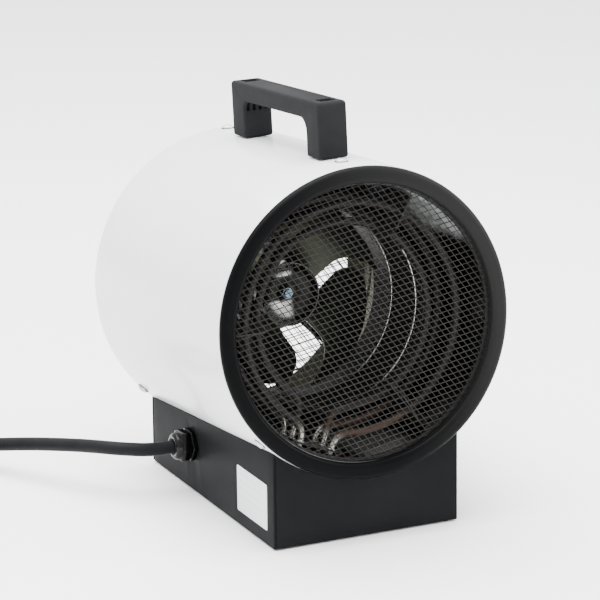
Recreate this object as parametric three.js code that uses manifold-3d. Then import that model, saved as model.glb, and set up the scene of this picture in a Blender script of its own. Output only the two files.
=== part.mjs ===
// Portable electric fan heater: a round sheet-steel drum, tilted up at its outlet, on a folded
// sheet-metal base. Air is drawn in through the rear net by an axial fan, is driven through a
// duct over three bent tubular elements and leaves through the front net.
//
// Millimetres, +Z up. The outlet looks along -Y and +X is to the right of someone facing it.
// The origin is on the floor under the middle of the heater, its cord not counted.
import * as THREE from "three";
import { mergeVertices } from "three/addons/utils/BufferGeometryUtils.js";
import Module from "manifold-3d";

// ---------------------------------------------------------------- driving dimensions
const SEAT_GAP = 0.3; // between pieces that touch
const SLIDE_GAP = 0.4; // between pieces that plug into each other
const FACETS = 40; // round the drum and all that is concentric with it

// Drum, measured along its own axis from the plane of the outlet
const DRUM_RADIUS = 121.4;
const DRUM_FRONT = 2.5;
const DRUM_LENGTH = 254;
const DRUM_REAR = DRUM_FRONT + DRUM_LENGTH;
const DRUM_WALL = 1.2;
const DRUM_TILT = THREE.MathUtils.degToRad(5.4);
const DRUM_RISE = 50.8; // from the floor to its underside, at the outlet
const OUTLET_HEIGHT = DRUM_RADIUS + DRUM_RISE;
const REAR_LIP = 15.5; // width of the rear edge, rolled inward
const REAR_ROUND = 3.6;

// Front bezel and the nets
const BEZEL_STEP = 0.1; // from the drum's outside in to the bezel's
const BEZEL_FACE = 13.1;
const BEZEL_RADIUS = DRUM_RADIUS - BEZEL_STEP;
const BEZEL_OPENING = BEZEL_RADIUS - BEZEL_FACE;
const BEZEL_NOSE = 3.5; // how far it stands in front of the outlet plane
const BEZEL_SHEET = 1.2;
const SPIGOT_LENGTH = 20; // of the bezel's and the rear ring's plug-in collars
const NET_DEPTH = 5; // of the front net behind the outlet plane
const NET_THICKNESS = 1;
const NET_RIM = 4.5;
const NET_WIRE = 1.5;
const FRONT_NET_PITCH = 20;
const REAR_NET_PITCH = 30;
const NET_ANGLES = [10.2, 125.7]; // degrees of the two families of wires

// Heat shield, duct, fan shroud
const SHIELD_SPACE = 14.4; // between the drum's outside and the shield's
const SHIELD_RADIUS = DRUM_RADIUS - SHIELD_SPACE;
const SHIELD_WALL = 1;
const SHIELD_FLANGE = 8;
const DUCT_SPACE = 42.8; // between the drum's outside and the duct's inside
const DUCT_RADIUS = DRUM_RADIUS - DUCT_SPACE;
const DUCT_WALL = 1;
const DUCT_FRONT = 64;
const SHROUD_FROM_REAR = 107.5;
const SHROUD_AT = DRUM_REAR - SHROUD_FROM_REAR;
const BEAD_FROM_SHROUD = 36;
const DUCT_BEAD_AT = SHROUD_AT - BEAD_FROM_SHROUD;
const DUCT_BEAD = 1.4;
const SHROUD_SHEET = 1.2;
const SHROUD_LIP = 5;

// Tubular elements, front to rear: radius of the loop and its distance behind the outlet
const ELEMENT_DIAMETER = 6.5;
const OUTER_LOOP_INSET = 17; // from the shield
const INNER_LOOP_INSET = 34;
const FIRST_LOOP_AT = 25;
const LOOP_SPACING = 16;
const ELEMENT_LOOPS = [
  { name: "front", inset: OUTER_LOOP_INSET },
  { name: "middle", inset: INNER_LOOP_INSET },
  { name: "rear", inset: OUTER_LOOP_INSET },
].map(({ name, inset }, i) => ({
  name,
  radius: SHIELD_RADIUS - inset,
  at: FIRST_LOOP_AT + LOOP_SPACING * i,
}));
const ELEMENT_ENDS_ANGLE = -111; // degrees round the drum, where the ends turn outward
const ELEMENT_END_SPREAD = 14; // of each end from the middle of the pair
const ELEMENT_BEND = 14;
const ELEMENT_END_PROUD = 6; // of the cold ends, outside the shield
const ELEMENT_END_REACH = SHIELD_RADIUS + ELEMENT_END_PROUD;
const TERMINAL_LENGTH = 9;
const TERMINAL_DIAMETER = 4;
const ELEMENT_PLATE = { width: 42, depth: 13, thickness: 1.5 };
const SUPPORT_ANGLES = [60, 180, 300];
const SUPPORT_SHEET = 1.2;
const SUPPORT_FOOT = 9;
const SUPPORT_MARGIN = 7;
const SUPPORT_CHAMFER = { out: 10, along: 12 };
const CUTOUT_AT = 70;
const CUTOUT_ANGLE = -25;

// Fan and motor
const FAN_BLADES = 4;
const FAN_TIP_GAP = 3.4;
const FAN_AT = SHROUD_AT - 3; // middle of the blades
const FAN_BLADE_ANGLE = 76; // degrees of each blade round the axis
const FAN_FIRST_BLADE = -40;
const FAN_SWEEP = 15; // degrees that the middle of a blade bows forward
const FAN_SHEET = 1.2;
const FAN_DEPTH_ROOT = 14; // of a blade along the axis
const FAN_DEPTH_TIP = 28;
const FAN_CAMBER = 3.5;
const HUB_RADIUS = 26;
const HUB_CUP = 7; // depth of its floor behind its front rim
const FAN_NUT = { radius: 5.2, height: 3.2 };
const SHAFT_DIAMETER = 6;
const SHAFT_FRONT = FAN_AT - 4;
const FAN_TO_MOTOR = 26;
const MOTOR_RADIUS = 36;
const MOTOR_BOSS = 11;
const MOTOR_FRONT = FAN_AT + FAN_TO_MOTOR;
const SHAFT_REAR = MOTOR_FRONT + 6;
const MOTOR_LENGTH = 58;
const STACK_PROUD = 3; // of the motor's laminations round its can
const SPIDER_ARMS = 4;
const SPIDER_ARM_WIDTH = 14;
const SPIDER_SHEET = 1.6;
const SPIDER_FOOT = 12;
const SPIDER_OUT = 19.4; // of its arms, from the duct
const SPIDER_REACH = DUCT_RADIUS + SPIDER_OUT;

// Base box
const BASE_WIDTH = 158;
const BASE_SHORTER = 13.4; // than the drum
const BASE_DEPTH = DRUM_LENGTH - BASE_SHORTER;
const BASE_SHEET = 1.2;
const BASE_CORNER = 3;
const BASE_FLANGE = 16;
const FOOT_PROUD = 1.5;
const FOOT_RADIUS = 6.5;
const FOOT_INSET = 9;
const FOOT_STEM = 2.2;

// Handle, along the drum's axis and above it
const HANDLE_FRONT = 42;
const HANDLE_SETBACK = 49; // from the drum's rear
const HANDLE_REAR = DRUM_REAR - HANDLE_SETBACK;
const HANDLE_RISE = 44.8; // above the drum
const HANDLE_TOP = DRUM_RADIUS + HANDLE_RISE;
const HANDLE_WIDTH = 24.8;
const HANDLE_LEG = 24.5;
const HANDLE_GRIP = 14.8;
const HANDLE_FRONT_FILLET = 11;
const HANDLE_REAR_FILLET = 6;
const HANDLE_EDGE = 1.8;
const HANDLE_POCKET = { width: 13, length: 9, floor: 12 };
const HANDLE_HOLLOW = { width: 15, depth: 7, bays: 6, rib: 2 };

// Screws
const SCREW_DIAMETER = 4;
const SCREW_HEAD = 9;
const SCREW_HEAD_HEIGHT = 2.6;
const LOWER_SCREW_OUT = 8.33; // from the base's sides
const TOP_FRONT_SCREW_AT = 30;
const LOWER_FRONT_SCREW_AT = 14;
const REAR_SCREW_INSET = 9.5;

// Controls on the rear panel
const KNOB_INSET = 22; // from the sides of the base
const KNOB_HEIGHT = 22.5;
const KNOB_RADIUS = 13;
const KNOB_DEPTH = 15;
const KNOB_STANDOFF = 0.8;
const STEM_DIAMETER = 6;
const SWITCH_SIZE = { width: 24, height: 18, depth: 26 };
const TERMINAL_BLOCK = { width: 20, length: 38, foot: 6, pole: 15, inset: 27 };

// Cable gland on the left side panel
const GLAND_SETBACK = 158;
const GLAND_HEIGHT = 40;
const GLAND_THREAD = 20;
const GLAND_HEX = 24; // across flats
const GLAND_FLANGE = 4;
const GLAND_NUT_LENGTH = 12.5;
const GLAND_MOUTH = 9; // radius of the nut's outer face

// Cord
const CORD_DIAMETER = 11;
const COIL_FROM_GLAND = [-205.6, 106]; // on the floor, left and back
const COIL_PITCH = CORD_DIAMETER + 0.8; // from turn to turn
const COIL_TURNS = 3.25;
const COIL_INNER = 48.5;
const COIL_STEPS = 24; // a turn
const TIE_THICKNESS = 1;
const TIE_WIDTH = 12;
const TIE_ANGLE = 320;
// From the gland's mouth to the coil: left, back, and the share of the height that is left
const LEAD_ROUTE = [
  [-22.9, 1.6, 1.015],
  [-34, 6.2, 1.036],
  [-43.5, 13.5, 1.036],
  [-50.8, 23, 1.012],
  [-60.8, 40.3, 0.94],
  [-70.8, 57.6, 0.852],
  [-80.8, 75, 0.756],
  [-90.8, 92.3, 0.648],
  [-100.8, 109.6, 0.53],
  [-111.8, 128.7, 0.392],
  [-123.3, 148.6, 0.253],
  [-133.6, 161.5, 0.157],
  [-148.6, 170.8, 0.078],
  [-166.6, 173.7, 0.024],
];
const PLUG_RADIUS = 18.5;
const PLUG_BACK = 26; // behind the coil's middle
const PLUG_BODY = 34;
const PLUG_SLEEVE = 24;
const PIN_DIAMETER = 4.8;
const PIN_LENGTH = 19;
const PIN_SPACING = 19;

// ---------------------------------------------------------------- materials
const matter = (color, roughness, metalness) =>
  new THREE.MeshStandardMaterial({ color, roughness, metalness });
const WHITE_ENAMEL = matter(0xf1f1f2, 0.3, 0);
const BLACK_ENAMEL = matter(0x1d1e1f, 0.38, 0);
const CHARCOAL_ENAMEL = matter(0x414345, 0.5, 0);
const HANDLE_PLASTIC = matter(0x4b4d50, 0.6, 0);
const BLACK_PLASTIC = matter(0x161617, 0.45, 0);
const SHIELD_STEEL = matter(0x9a9c9b, 0.25, 1);
const DARK_STEEL = matter(0x3a3c38, 0.45, 0.9);
const ZINC = matter(0xc6c8ca, 0.3, 1);
const ELEMENT_STEEL = matter(0x3d3834, 0.55, 0.7);
const CAST_ALLOY = matter(0x8b8d8f, 0.5, 0.9);
const CERAMIC = matter(0xe6e1d4, 0.6, 0);
const RUBBER = matter(0x202122, 0.75, 0);
const BRASS = matter(0xc9b27a, 0.3, 1);

// ---------------------------------------------------------------- solids
const wasm = await Module();
wasm.setup();
const FAR = 400; // reaches past everything that a cut has to pass

const at = (x, y, z) => new THREE.Matrix4().makeTranslation(x, y, z);
const turned = (axis, angle) =>
  new THREE.Matrix4().makeRotationAxis(axis, angle);
const X = new THREE.Vector3(1, 0, 0);
const Y = new THREE.Vector3(0, 1, 0);
const Z = new THREE.Vector3(0, 0, 1);
const rad = THREE.MathUtils.degToRad;

// A closed geometry, moved by a matrix, as a solid that can be joined and cut.
function solid(geometry, matrix = new THREE.Matrix4()) {
  const bare = geometry.clone();
  bare.deleteAttribute("normal");
  bare.deleteAttribute("uv");
  const merged = mergeVertices(bare.applyMatrix4(matrix), 1e-3);
  const index = merged.index.array;
  const kept = [];
  for (let i = 0; i < index.length; i += 3) {
    const [a, b, c] = [index[i], index[i + 1], index[i + 2]];
    if (a !== b && b !== c && c !== a) kept.push(a, b, c);
  }
  return new wasm.Manifold(
    new wasm.Mesh({
      numProp: 3,
      vertProperties: merged.attributes.position.array,
      triVerts: new Uint32Array(kept),
    }),
  );
}

function geometryOf(body) {
  const { vertProperties, triVerts } = body.getMesh();
  const made = new THREE.BufferGeometry();
  made.setAttribute("position", new THREE.BufferAttribute(vertProperties, 3));
  made.setIndex(new THREE.BufferAttribute(triVerts, 1));
  made.computeVertexNormals();
  return made;
}

// Adds one piece to a group as a named mesh.
function add(group, name, body, material) {
  const mesh = new THREE.Mesh(geometryOf(body), material);
  mesh.name = name;
  group.add(mesh);
  return mesh;
}

// A profile of [radius, height] points, closed on itself or on the axis, turned round Y.
function lathe(profile, facets = FACETS) {
  const closed = [...profile, profile[0]];
  const area = closed
    .slice(1)
    .reduce((sum, [x, y], i) => sum + closed[i][0] * y - x * closed[i][1], 0);
  const points = (area > 0 ? closed : closed.reverse()).map(
    ([x, y]) => new THREE.Vector2(x, y),
  );
  return solid(new THREE.LatheGeometry(points, facets));
}

// A flat plate of a shape, extruded along Z.
function plate(shape, thickness, matrix, curveSegments = 6) {
  return solid(
    new THREE.ExtrudeGeometry(shape, {
      depth: thickness,
      bevelEnabled: false,
      curveSegments,
    }),
    matrix,
  );
}

function block(x0, x1, y0, y1, z0, z1) {
  return solid(
    new THREE.BoxGeometry(x1 - x0, y1 - y0, z1 - z0),
    at((x0 + x1) / 2, (y0 + y1) / 2, (z0 + z1) / 2),
  );
}

// A cylinder or prism round Y between two heights.
function rod(radius, y0, y1, sides = 16, topRadius = radius) {
  return solid(
    new THREE.CylinderGeometry(topRadius, radius, y1 - y0, sides),
    at(0, (y0 + y1) / 2, 0),
  );
}

function roundedRect(x0, x1, y0, y1, r) {
  const s = new THREE.Shape();
  s.moveTo(x0 + r, y0);
  s.lineTo(x1 - r, y0);
  s.absarc(x1 - r, y0 + r, r, -Math.PI / 2, 0);
  s.lineTo(x1, y1 - r);
  s.absarc(x1 - r, y1 - r, r, 0, Math.PI / 2);
  s.lineTo(x0 + r, y1);
  s.absarc(x0 + r, y1 - r, r, Math.PI / 2, Math.PI);
  s.lineTo(x0, y0 + r);
  s.absarc(x0 + r, y0 + r, r, Math.PI, 1.5 * Math.PI);
  return s;
}

// A round tube along points, with its ends closed.
function tube(points, radius, sides, steps) {
  const section = new THREE.Shape();
  for (let i = 0; i < sides; i++) {
    const a = (2 * Math.PI * i) / sides;
    section[i ? "lineTo" : "moveTo"](radius * Math.cos(a), radius * Math.sin(a));
  }
  section.closePath();
  return solid(
    new THREE.ExtrudeGeometry(section, {
      steps,
      bevelEnabled: false,
      extrudePath: new THREE.CatmullRomCurve3(points, false, "centripetal"),
    }),
  );
}

// Stands a piece made round Y on the drum: its foot at a distance from the axis, pointing outward.
function radial(angle, along, distance) {
  const a = rad(angle);
  return at(distance * Math.cos(a), along, distance * Math.sin(a))
    .multiply(turned(Y, -a))
    .multiply(turned(Z, -Math.PI / 2));
}

// Distance from the axis to the flats of a drum-sized facetted circle.
const toFlat = (radius) => radius * Math.cos(Math.PI / FACETS);
// How far out a flat of a half width can lie inside a facetted bore.
const flatInside = (bore, halfWidth) =>
  Math.sqrt(toFlat(bore) ** 2 - halfWidth ** 2) - SEAT_GAP;

const cut = (body, ...tools) => tools.reduce((b, t) => b.subtract(t), body);
const joined = (first, ...rest) => rest.reduce((b, t) => b.add(t), first);

// ---------------------------------------------------------------- groups
const machine = new THREE.Group();
const base = new THREE.Group();
const drum = new THREE.Group();
drum.position.z = OUTLET_HEIGHT;
drum.rotation.x = -DRUM_TILT;
machine.add(base, drum);
drum.updateMatrix();

// ---------------------------------------------------------------- drum casing
const DRUM_BORE = DRUM_RADIUS - DRUM_WALL;
const COLLAR_OUTER = DRUM_BORE - SLIDE_GAP;
const COLLAR_INNER = COLLAR_OUTER - BEZEL_SHEET;
const SCREW_HOLE = SCREW_DIAMETER / 2 + SEAT_GAP;
const rearScrewAt = DRUM_REAR - REAR_SCREW_INSET;
// degrees below level
const lowerScrewAngle = THREE.MathUtils.radToDeg(
  Math.acos((BASE_WIDTH / 2 + LOWER_SCREW_OUT) / DRUM_RADIUS),
);

const casingScrews = [
  { name: "screw_top_front", angle: 90, at: TOP_FRONT_SCREW_AT },
  { name: "screw_top_rear", angle: 90, at: rearScrewAt },
  { name: "screw_left_front", angle: 180 + lowerScrewAngle, at: LOWER_FRONT_SCREW_AT },
  { name: "screw_left_rear", angle: 180 + lowerScrewAngle, at: rearScrewAt },
  { name: "screw_right_front", angle: -lowerScrewAngle, at: LOWER_FRONT_SCREW_AT },
  { name: "screw_right_rear", angle: -lowerScrewAngle, at: rearScrewAt },
];
const screwHoles = casingScrews.map((s) =>
  rod(SCREW_HOLE, 0, FAR, 8).transform(radial(s.angle, s.at, SHIELD_RADIUS - 4).toArray()),
);
const handleScrewsAt = [HANDLE_FRONT + HANDLE_LEG / 2, HANDLE_REAR - HANDLE_LEG / 2];
const handleScrewHoles = handleScrewsAt.map((s) =>
  rod(SCREW_HOLE, 0, FAR, 8).transform(radial(90, s, SHIELD_RADIUS + 2).toArray()),
);

// The elements' cold ends leave through a slot in the bottom of the casing.
const endDirection = rad(ELEMENT_ENDS_ANGLE);
const endsFrame = turned(Y, -endDirection).multiply(turned(Z, -Math.PI / 2));
const terminalSlot = {
  half: ELEMENT_END_SPREAD + TERMINAL_DIAMETER + 3,
  front: ELEMENT_LOOPS[0].at - 8,
  rear: ELEMENT_LOOPS[ELEMENT_LOOPS.length - 1].at + 8,
};

const casing = lathe([
  [DRUM_RADIUS, DRUM_FRONT],
  [DRUM_RADIUS, DRUM_REAR - REAR_ROUND],
  [DRUM_RADIUS - REAR_ROUND * 0.29, DRUM_REAR - REAR_ROUND * 0.29],
  [DRUM_RADIUS - REAR_ROUND, DRUM_REAR],
  [DRUM_RADIUS - REAR_LIP, DRUM_REAR],
  [DRUM_RADIUS - REAR_LIP, DRUM_REAR - DRUM_WALL],
  [DRUM_BORE - REAR_ROUND, DRUM_REAR - DRUM_WALL],
  [DRUM_BORE, DRUM_REAR - DRUM_WALL - REAR_ROUND],
  [DRUM_BORE, DRUM_FRONT],
]);
const slotCut = block(
  0,
  FAR,
  terminalSlot.front,
  terminalSlot.rear,
  -terminalSlot.half,
  terminalSlot.half,
).transform(turned(Y, -endDirection).toArray());
add(
  drum,
  "drum_casing",
  cut(casing, ...screwHoles, ...handleScrewHoles, slotCut.subtract(rod(SHIELD_RADIUS + 3, -FAR, FAR))),
  WHITE_ENAMEL,
);

// ---------------------------------------------------------------- bezel and front net
const lipRear = NET_DEPTH;
const bezelProfile = [
  [BEZEL_RADIUS, DRUM_FRONT - SEAT_GAP],
  [COLLAR_OUTER, DRUM_FRONT - SEAT_GAP],
  [COLLAR_OUTER, SPIGOT_LENGTH],
  [COLLAR_INNER, SPIGOT_LENGTH],
  [COLLAR_INNER, 0.4],
  [BEZEL_OPENING + 6, BEZEL_SHEET - BEZEL_NOSE],
  [BEZEL_OPENING + BEZEL_SHEET, 0.8],
  [BEZEL_OPENING + BEZEL_SHEET, lipRear],
  [BEZEL_OPENING, lipRear],
  [BEZEL_OPENING, 0],
  [BEZEL_OPENING + 2.2, -BEZEL_NOSE * 0.72],
  [BEZEL_OPENING + 6, -BEZEL_NOSE],
  [BEZEL_RADIUS - 3.2, -BEZEL_NOSE * 0.86],
  [BEZEL_RADIUS - 1, -BEZEL_NOSE * 0.42],
  [BEZEL_RADIUS, 0.6],
];
add(drum, "front_bezel", cut(lathe(bezelProfile), ...screwHoles), BLACK_ENAMEL);

// A round net: two families of wires that cross at a slant, in a flat rim.
function net(radius, pitch, from) {
  const clear = radius - NET_RIM;
  const [a, b] = NET_ANGLES.map(rad);
  const skew = Math.sin(b - a);
  const step = pitch / skew;
  const half = (pitch - NET_WIRE) / skew / 2;
  const count = Math.ceil((2 * radius) / pitch);
  const gaps = [];
  for (let i = -count; i <= count; i++) {
    for (let j = -count; j <= count; j++) {
      const x = (i * Math.cos(a) + j * Math.cos(b)) * step;
      const y = (i * Math.sin(a) + j * Math.sin(b)) * step;
      if (Math.hypot(x, y) > clear + pitch * 0.1) continue;
      const gap = new THREE.Shape();
      for (const [p, q] of [[-1, -1], [1, -1], [1, 1], [-1, 1]]) {
        const gx = x + (p * Math.cos(a) + q * Math.cos(b)) * half;
        const gy = y + (p * Math.sin(a) + q * Math.sin(b)) * half;
        if (p === -1 && q === -1) gap.moveTo(gx, gy);
        else gap.lineTo(gx, gy);
      }
      gap.closePath();
      gaps.push(gap);
    }
  }
  const upright = at(0, from + NET_THICKNESS + 1, 0).multiply(turned(X, Math.PI / 2));
  const holes = plate(gaps, NET_THICKNESS + 2, upright);
  const disc = rod(radius, from, from + NET_THICKNESS, FACETS);
  const inside = rod(clear, from - 2, from + NET_THICKNESS + 2, FACETS);
  return disc.subtract(holes.intersect(inside));
}
const netFront = NET_DEPTH + SEAT_GAP;
const FRONT_NET_RADIUS = BEZEL_OPENING + NET_RIM;
add(drum, "front_net", net(FRONT_NET_RADIUS, FRONT_NET_PITCH, netFront), BLACK_ENAMEL);

// ---------------------------------------------------------------- rear net and its ring
const rearNetFrom = DRUM_REAR - DRUM_WALL - SEAT_GAP - NET_THICKNESS;
const REAR_NET_RADIUS = DRUM_BORE - REAR_ROUND - 1;
add(drum, "rear_net", net(REAR_NET_RADIUS, REAR_NET_PITCH, rearNetFrom), BLACK_ENAMEL);
const ringRear = rearNetFrom - SEAT_GAP;
const ringFront = ringRear - SPIGOT_LENGTH + 5;
add(
  drum,
  "rear_ring",
  cut(
    lathe([
      [COLLAR_OUTER, ringFront],
      [COLLAR_OUTER, ringRear - REAR_ROUND],
      [COLLAR_OUTER - REAR_ROUND, ringRear],
      [DRUM_RADIUS - REAR_LIP, ringRear],
      [COLLAR_INNER, ringRear - BEZEL_SHEET - REAR_ROUND],
      [COLLAR_INNER, ringFront],
    ]),
    ...screwHoles,
  ),
  WHITE_ENAMEL,
);

// ---------------------------------------------------------------- heat shield and duct
const SHIELD_BORE = SHIELD_RADIUS - SHIELD_WALL;
const shieldFront = netFront + NET_THICKNESS + SEAT_GAP;
const shieldRear = SHROUD_AT - SEAT_GAP;
const endHoles = ELEMENT_LOOPS.flatMap((loop) =>
  [-1, 1].map((side) =>
    rod(ELEMENT_DIAMETER / 2 + SLIDE_GAP, 0, FAR, 10)
      .transform(endsFrame.toArray())
      .translate([
        -side * ELEMENT_END_SPREAD * Math.sin(endDirection),
        loop.at,
        side * ELEMENT_END_SPREAD * Math.cos(endDirection),
      ]),
  ),
);
add(
  drum,
  "heat_shield",
  cut(
    lathe([
      [SHIELD_RADIUS + SHIELD_FLANGE, shieldFront],
      [SHIELD_RADIUS + SHIELD_FLANGE, shieldFront + SHIELD_WALL],
      [SHIELD_RADIUS, shieldFront + SHIELD_WALL],
      [SHIELD_RADIUS, shieldRear],
      [SHIELD_BORE, shieldRear],
      [SHIELD_BORE, shieldFront],
    ]),
    ...endHoles,
    screwHoles[0],
  ),
  SHIELD_STEEL,
);

const ductRear = SHROUD_AT - SEAT_GAP;
const DUCT_OUTER = DUCT_RADIUS + DUCT_WALL;
add(
  drum,
  "air_duct",
  lathe([
    [DUCT_OUTER + 1.8, DUCT_FRONT],
    [DUCT_OUTER, DUCT_FRONT + 2.6],
    [DUCT_OUTER, DUCT_BEAD_AT - 2.5],
    [DUCT_OUTER - DUCT_BEAD, DUCT_BEAD_AT],
    [DUCT_OUTER, DUCT_BEAD_AT + 2.5],
    [DUCT_OUTER, ductRear],
    [DUCT_RADIUS, ductRear],
    [DUCT_RADIUS, DUCT_BEAD_AT + 2.5],
    [DUCT_RADIUS - DUCT_BEAD, DUCT_BEAD_AT],
    [DUCT_RADIUS, DUCT_BEAD_AT - 2.5],
    [DUCT_RADIUS, DUCT_FRONT + 1.6],
  ]),
  DARK_STEEL,
);

const shroudOpening = DUCT_OUTER + SLIDE_GAP;
const shroudRear = SHROUD_AT + SHROUD_SHEET;
add(
  drum,
  "fan_shroud",
  lathe([
    [shroudOpening, SHROUD_AT - SHROUD_LIP],
    [shroudOpening + SHROUD_SHEET, SHROUD_AT - SHROUD_LIP],
    [shroudOpening + SHROUD_SHEET, SHROUD_AT],
    [COLLAR_OUTER, SHROUD_AT],
    [COLLAR_OUTER, SHROUD_AT + 12],
    [COLLAR_OUTER - SHROUD_SHEET, SHROUD_AT + 12],
    [COLLAR_OUTER - SHROUD_SHEET, shroudRear],
    [shroudOpening, shroudRear],
  ]),
  DARK_STEEL,
);

// Spacer between the shield and the casing, under the front top screw
const spacerFoot = SHIELD_RADIUS + SEAT_GAP;
const SPACER_RADIUS = 5;
const spacerTop = flatInside(DRUM_BORE, SPACER_RADIUS);
add(
  drum,
  "shield_spacer",
  lathe([
    [SCREW_HOLE, spacerFoot],
    [SPACER_RADIUS, spacerFoot],
    [SPACER_RADIUS, spacerTop],
    [SCREW_HOLE, spacerTop],
  ], 12).transform(radial(90, TOP_FRONT_SCREW_AT, 0).toArray()),
  ZINC,
);

// ---------------------------------------------------------------- elements
// The path of one element in the plane of its loop: out of the casing, round the drum, and back.
function elementPath(radius, along) {
  const bend = ELEMENT_BEND;
  const across = ELEMENT_END_SPREAD + bend;
  const up = Math.sqrt((radius + bend) ** 2 - across ** 2);
  const open = Math.atan2(across, up);
  const flat = []; // [sideways, outward] from the axis, the ends pointing outward
  flat.push([ELEMENT_END_SPREAD, ELEMENT_END_REACH]);
  flat.push([ELEMENT_END_SPREAD, (ELEMENT_END_REACH + up) / 2]);
  const swing = Math.PI / 2 - open;
  for (let i = 0; i <= 4; i++) {
    const a = Math.PI + (swing * i) / 4;
    flat.push([across + bend * Math.cos(a), up + bend * Math.sin(a)]);
  }
  for (let i = 1; i < 36; i++) {
    const a = open + ((2 * Math.PI - 2 * open) * i) / 36;
    flat.push([radius * Math.sin(a), radius * Math.cos(a)]);
  }
  for (let i = 4; i >= 0; i--) {
    const a = (-swing * i) / 4;
    flat.push([-across + bend * Math.cos(a), up + bend * Math.sin(a)]);
  }
  flat.push([-ELEMENT_END_SPREAD, (ELEMENT_END_REACH + up) / 2]);
  flat.push([-ELEMENT_END_SPREAD, ELEMENT_END_REACH]);
  const out = new THREE.Vector3(Math.cos(endDirection), 0, Math.sin(endDirection));
  const side = new THREE.Vector3(-Math.sin(endDirection), 0, Math.cos(endDirection));
  return flat.map(([s, o]) =>
    new THREE.Vector3(0, along, 0).addScaledVector(side, s).addScaledVector(out, o),
  );
}

ELEMENT_LOOPS.forEach(({ name, radius, at: along }) => {
  const sheath = tube(elementPath(radius, along), ELEMENT_DIAMETER / 2, 6, 50);
  const terminals = [-1, 1].map((side) =>
    rod(TERMINAL_DIAMETER / 2, ELEMENT_END_REACH - 2, ELEMENT_END_REACH + TERMINAL_LENGTH, 6)
      .transform(endsFrame.toArray())
      .translate([
        -side * ELEMENT_END_SPREAD * Math.sin(endDirection),
        along,
        side * ELEMENT_END_SPREAD * Math.cos(endDirection),
      ]),
  );
  add(drum, "element_" + name, joined(sheath, ...terminals), ELEMENT_STEEL);
});

// Plates that the elements' ends pass through, seated inside the shield
const plateOuter = flatInside(SHIELD_BORE, ELEMENT_PLATE.width / 2);
ELEMENT_LOOPS.forEach(({ name, at: along }) => {
  const body = block(
    plateOuter - ELEMENT_PLATE.thickness,
    plateOuter,
    along - ELEMENT_PLATE.depth / 2,
    along + ELEMENT_PLATE.depth / 2,
    -ELEMENT_PLATE.width / 2,
    ELEMENT_PLATE.width / 2,
  ).transform(turned(Y, -endDirection).toArray());
  add(drum, "element_plate_" + name, cut(body, ...endHoles), ZINC);
});

// Supports: sheet strips in the radial plane, each threaded by all three loops
const supportFront = ELEMENT_LOOPS[0].at - SUPPORT_MARGIN;
const supportRear = ELEMENT_LOOPS[ELEMENT_LOOPS.length - 1].at + SUPPORT_MARGIN - 3;
const supportInner = Math.min(...ELEMENT_LOOPS.map((l) => l.radius)) - SUPPORT_MARGIN;
const footOuter = flatInside(SHIELD_BORE, SUPPORT_FOOT);
const supportOuter = footOuter - SUPPORT_SHEET / 2;
SUPPORT_ANGLES.forEach((angle, i) => {
  const strip = new THREE.Shape([
    new THREE.Vector2(supportInner, supportFront + SUPPORT_CHAMFER.along),
    new THREE.Vector2(supportInner + SUPPORT_CHAMFER.out, supportFront),
    new THREE.Vector2(supportOuter, supportFront),
    new THREE.Vector2(supportOuter, supportRear),
    new THREE.Vector2(supportInner + SUPPORT_CHAMFER.out, supportRear),
    new THREE.Vector2(supportInner, supportRear - SUPPORT_CHAMFER.along),
  ]);
  ELEMENT_LOOPS.forEach(({ radius, at: along }) => {
    const hole = new THREE.Path();
    hole.absarc(radius, along, ELEMENT_DIAMETER / 2 + SEAT_GAP + 0.1, 0, 2 * Math.PI, true);
    strip.holes.push(hole);
  });
  const web = plate(strip, SUPPORT_SHEET, at(0, 0, -SUPPORT_SHEET / 2), 5);
  const foot = block(
    footOuter - SUPPORT_SHEET,
    footOuter,
    supportFront,
    supportRear,
    -SUPPORT_SHEET / 2,
    SUPPORT_FOOT,
  );
  add(
    drum,
    "element_support_" + (i + 1),
    web.add(foot).transform(turned(Y, -rad(angle)).toArray()),
    ZINC,
  );
});

// Overheat cut-out, a small disc on the outside of the shield
add(
  drum,
  "thermal_cutout",
  lathe([
    [0, SHIELD_RADIUS + SEAT_GAP],
    [8, SHIELD_RADIUS + SEAT_GAP],
    [8, SHIELD_RADIUS + 5],
    [6, SHIELD_RADIUS + 9],
    [0, SHIELD_RADIUS + 9],
  ], 12).transform(radial(CUTOUT_ANGLE, CUTOUT_AT, 0).toArray()),
  CERAMIC,
);

// ---------------------------------------------------------------- fan
const FAN_TIP = DUCT_RADIUS - FAN_TIP_GAP;

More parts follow.
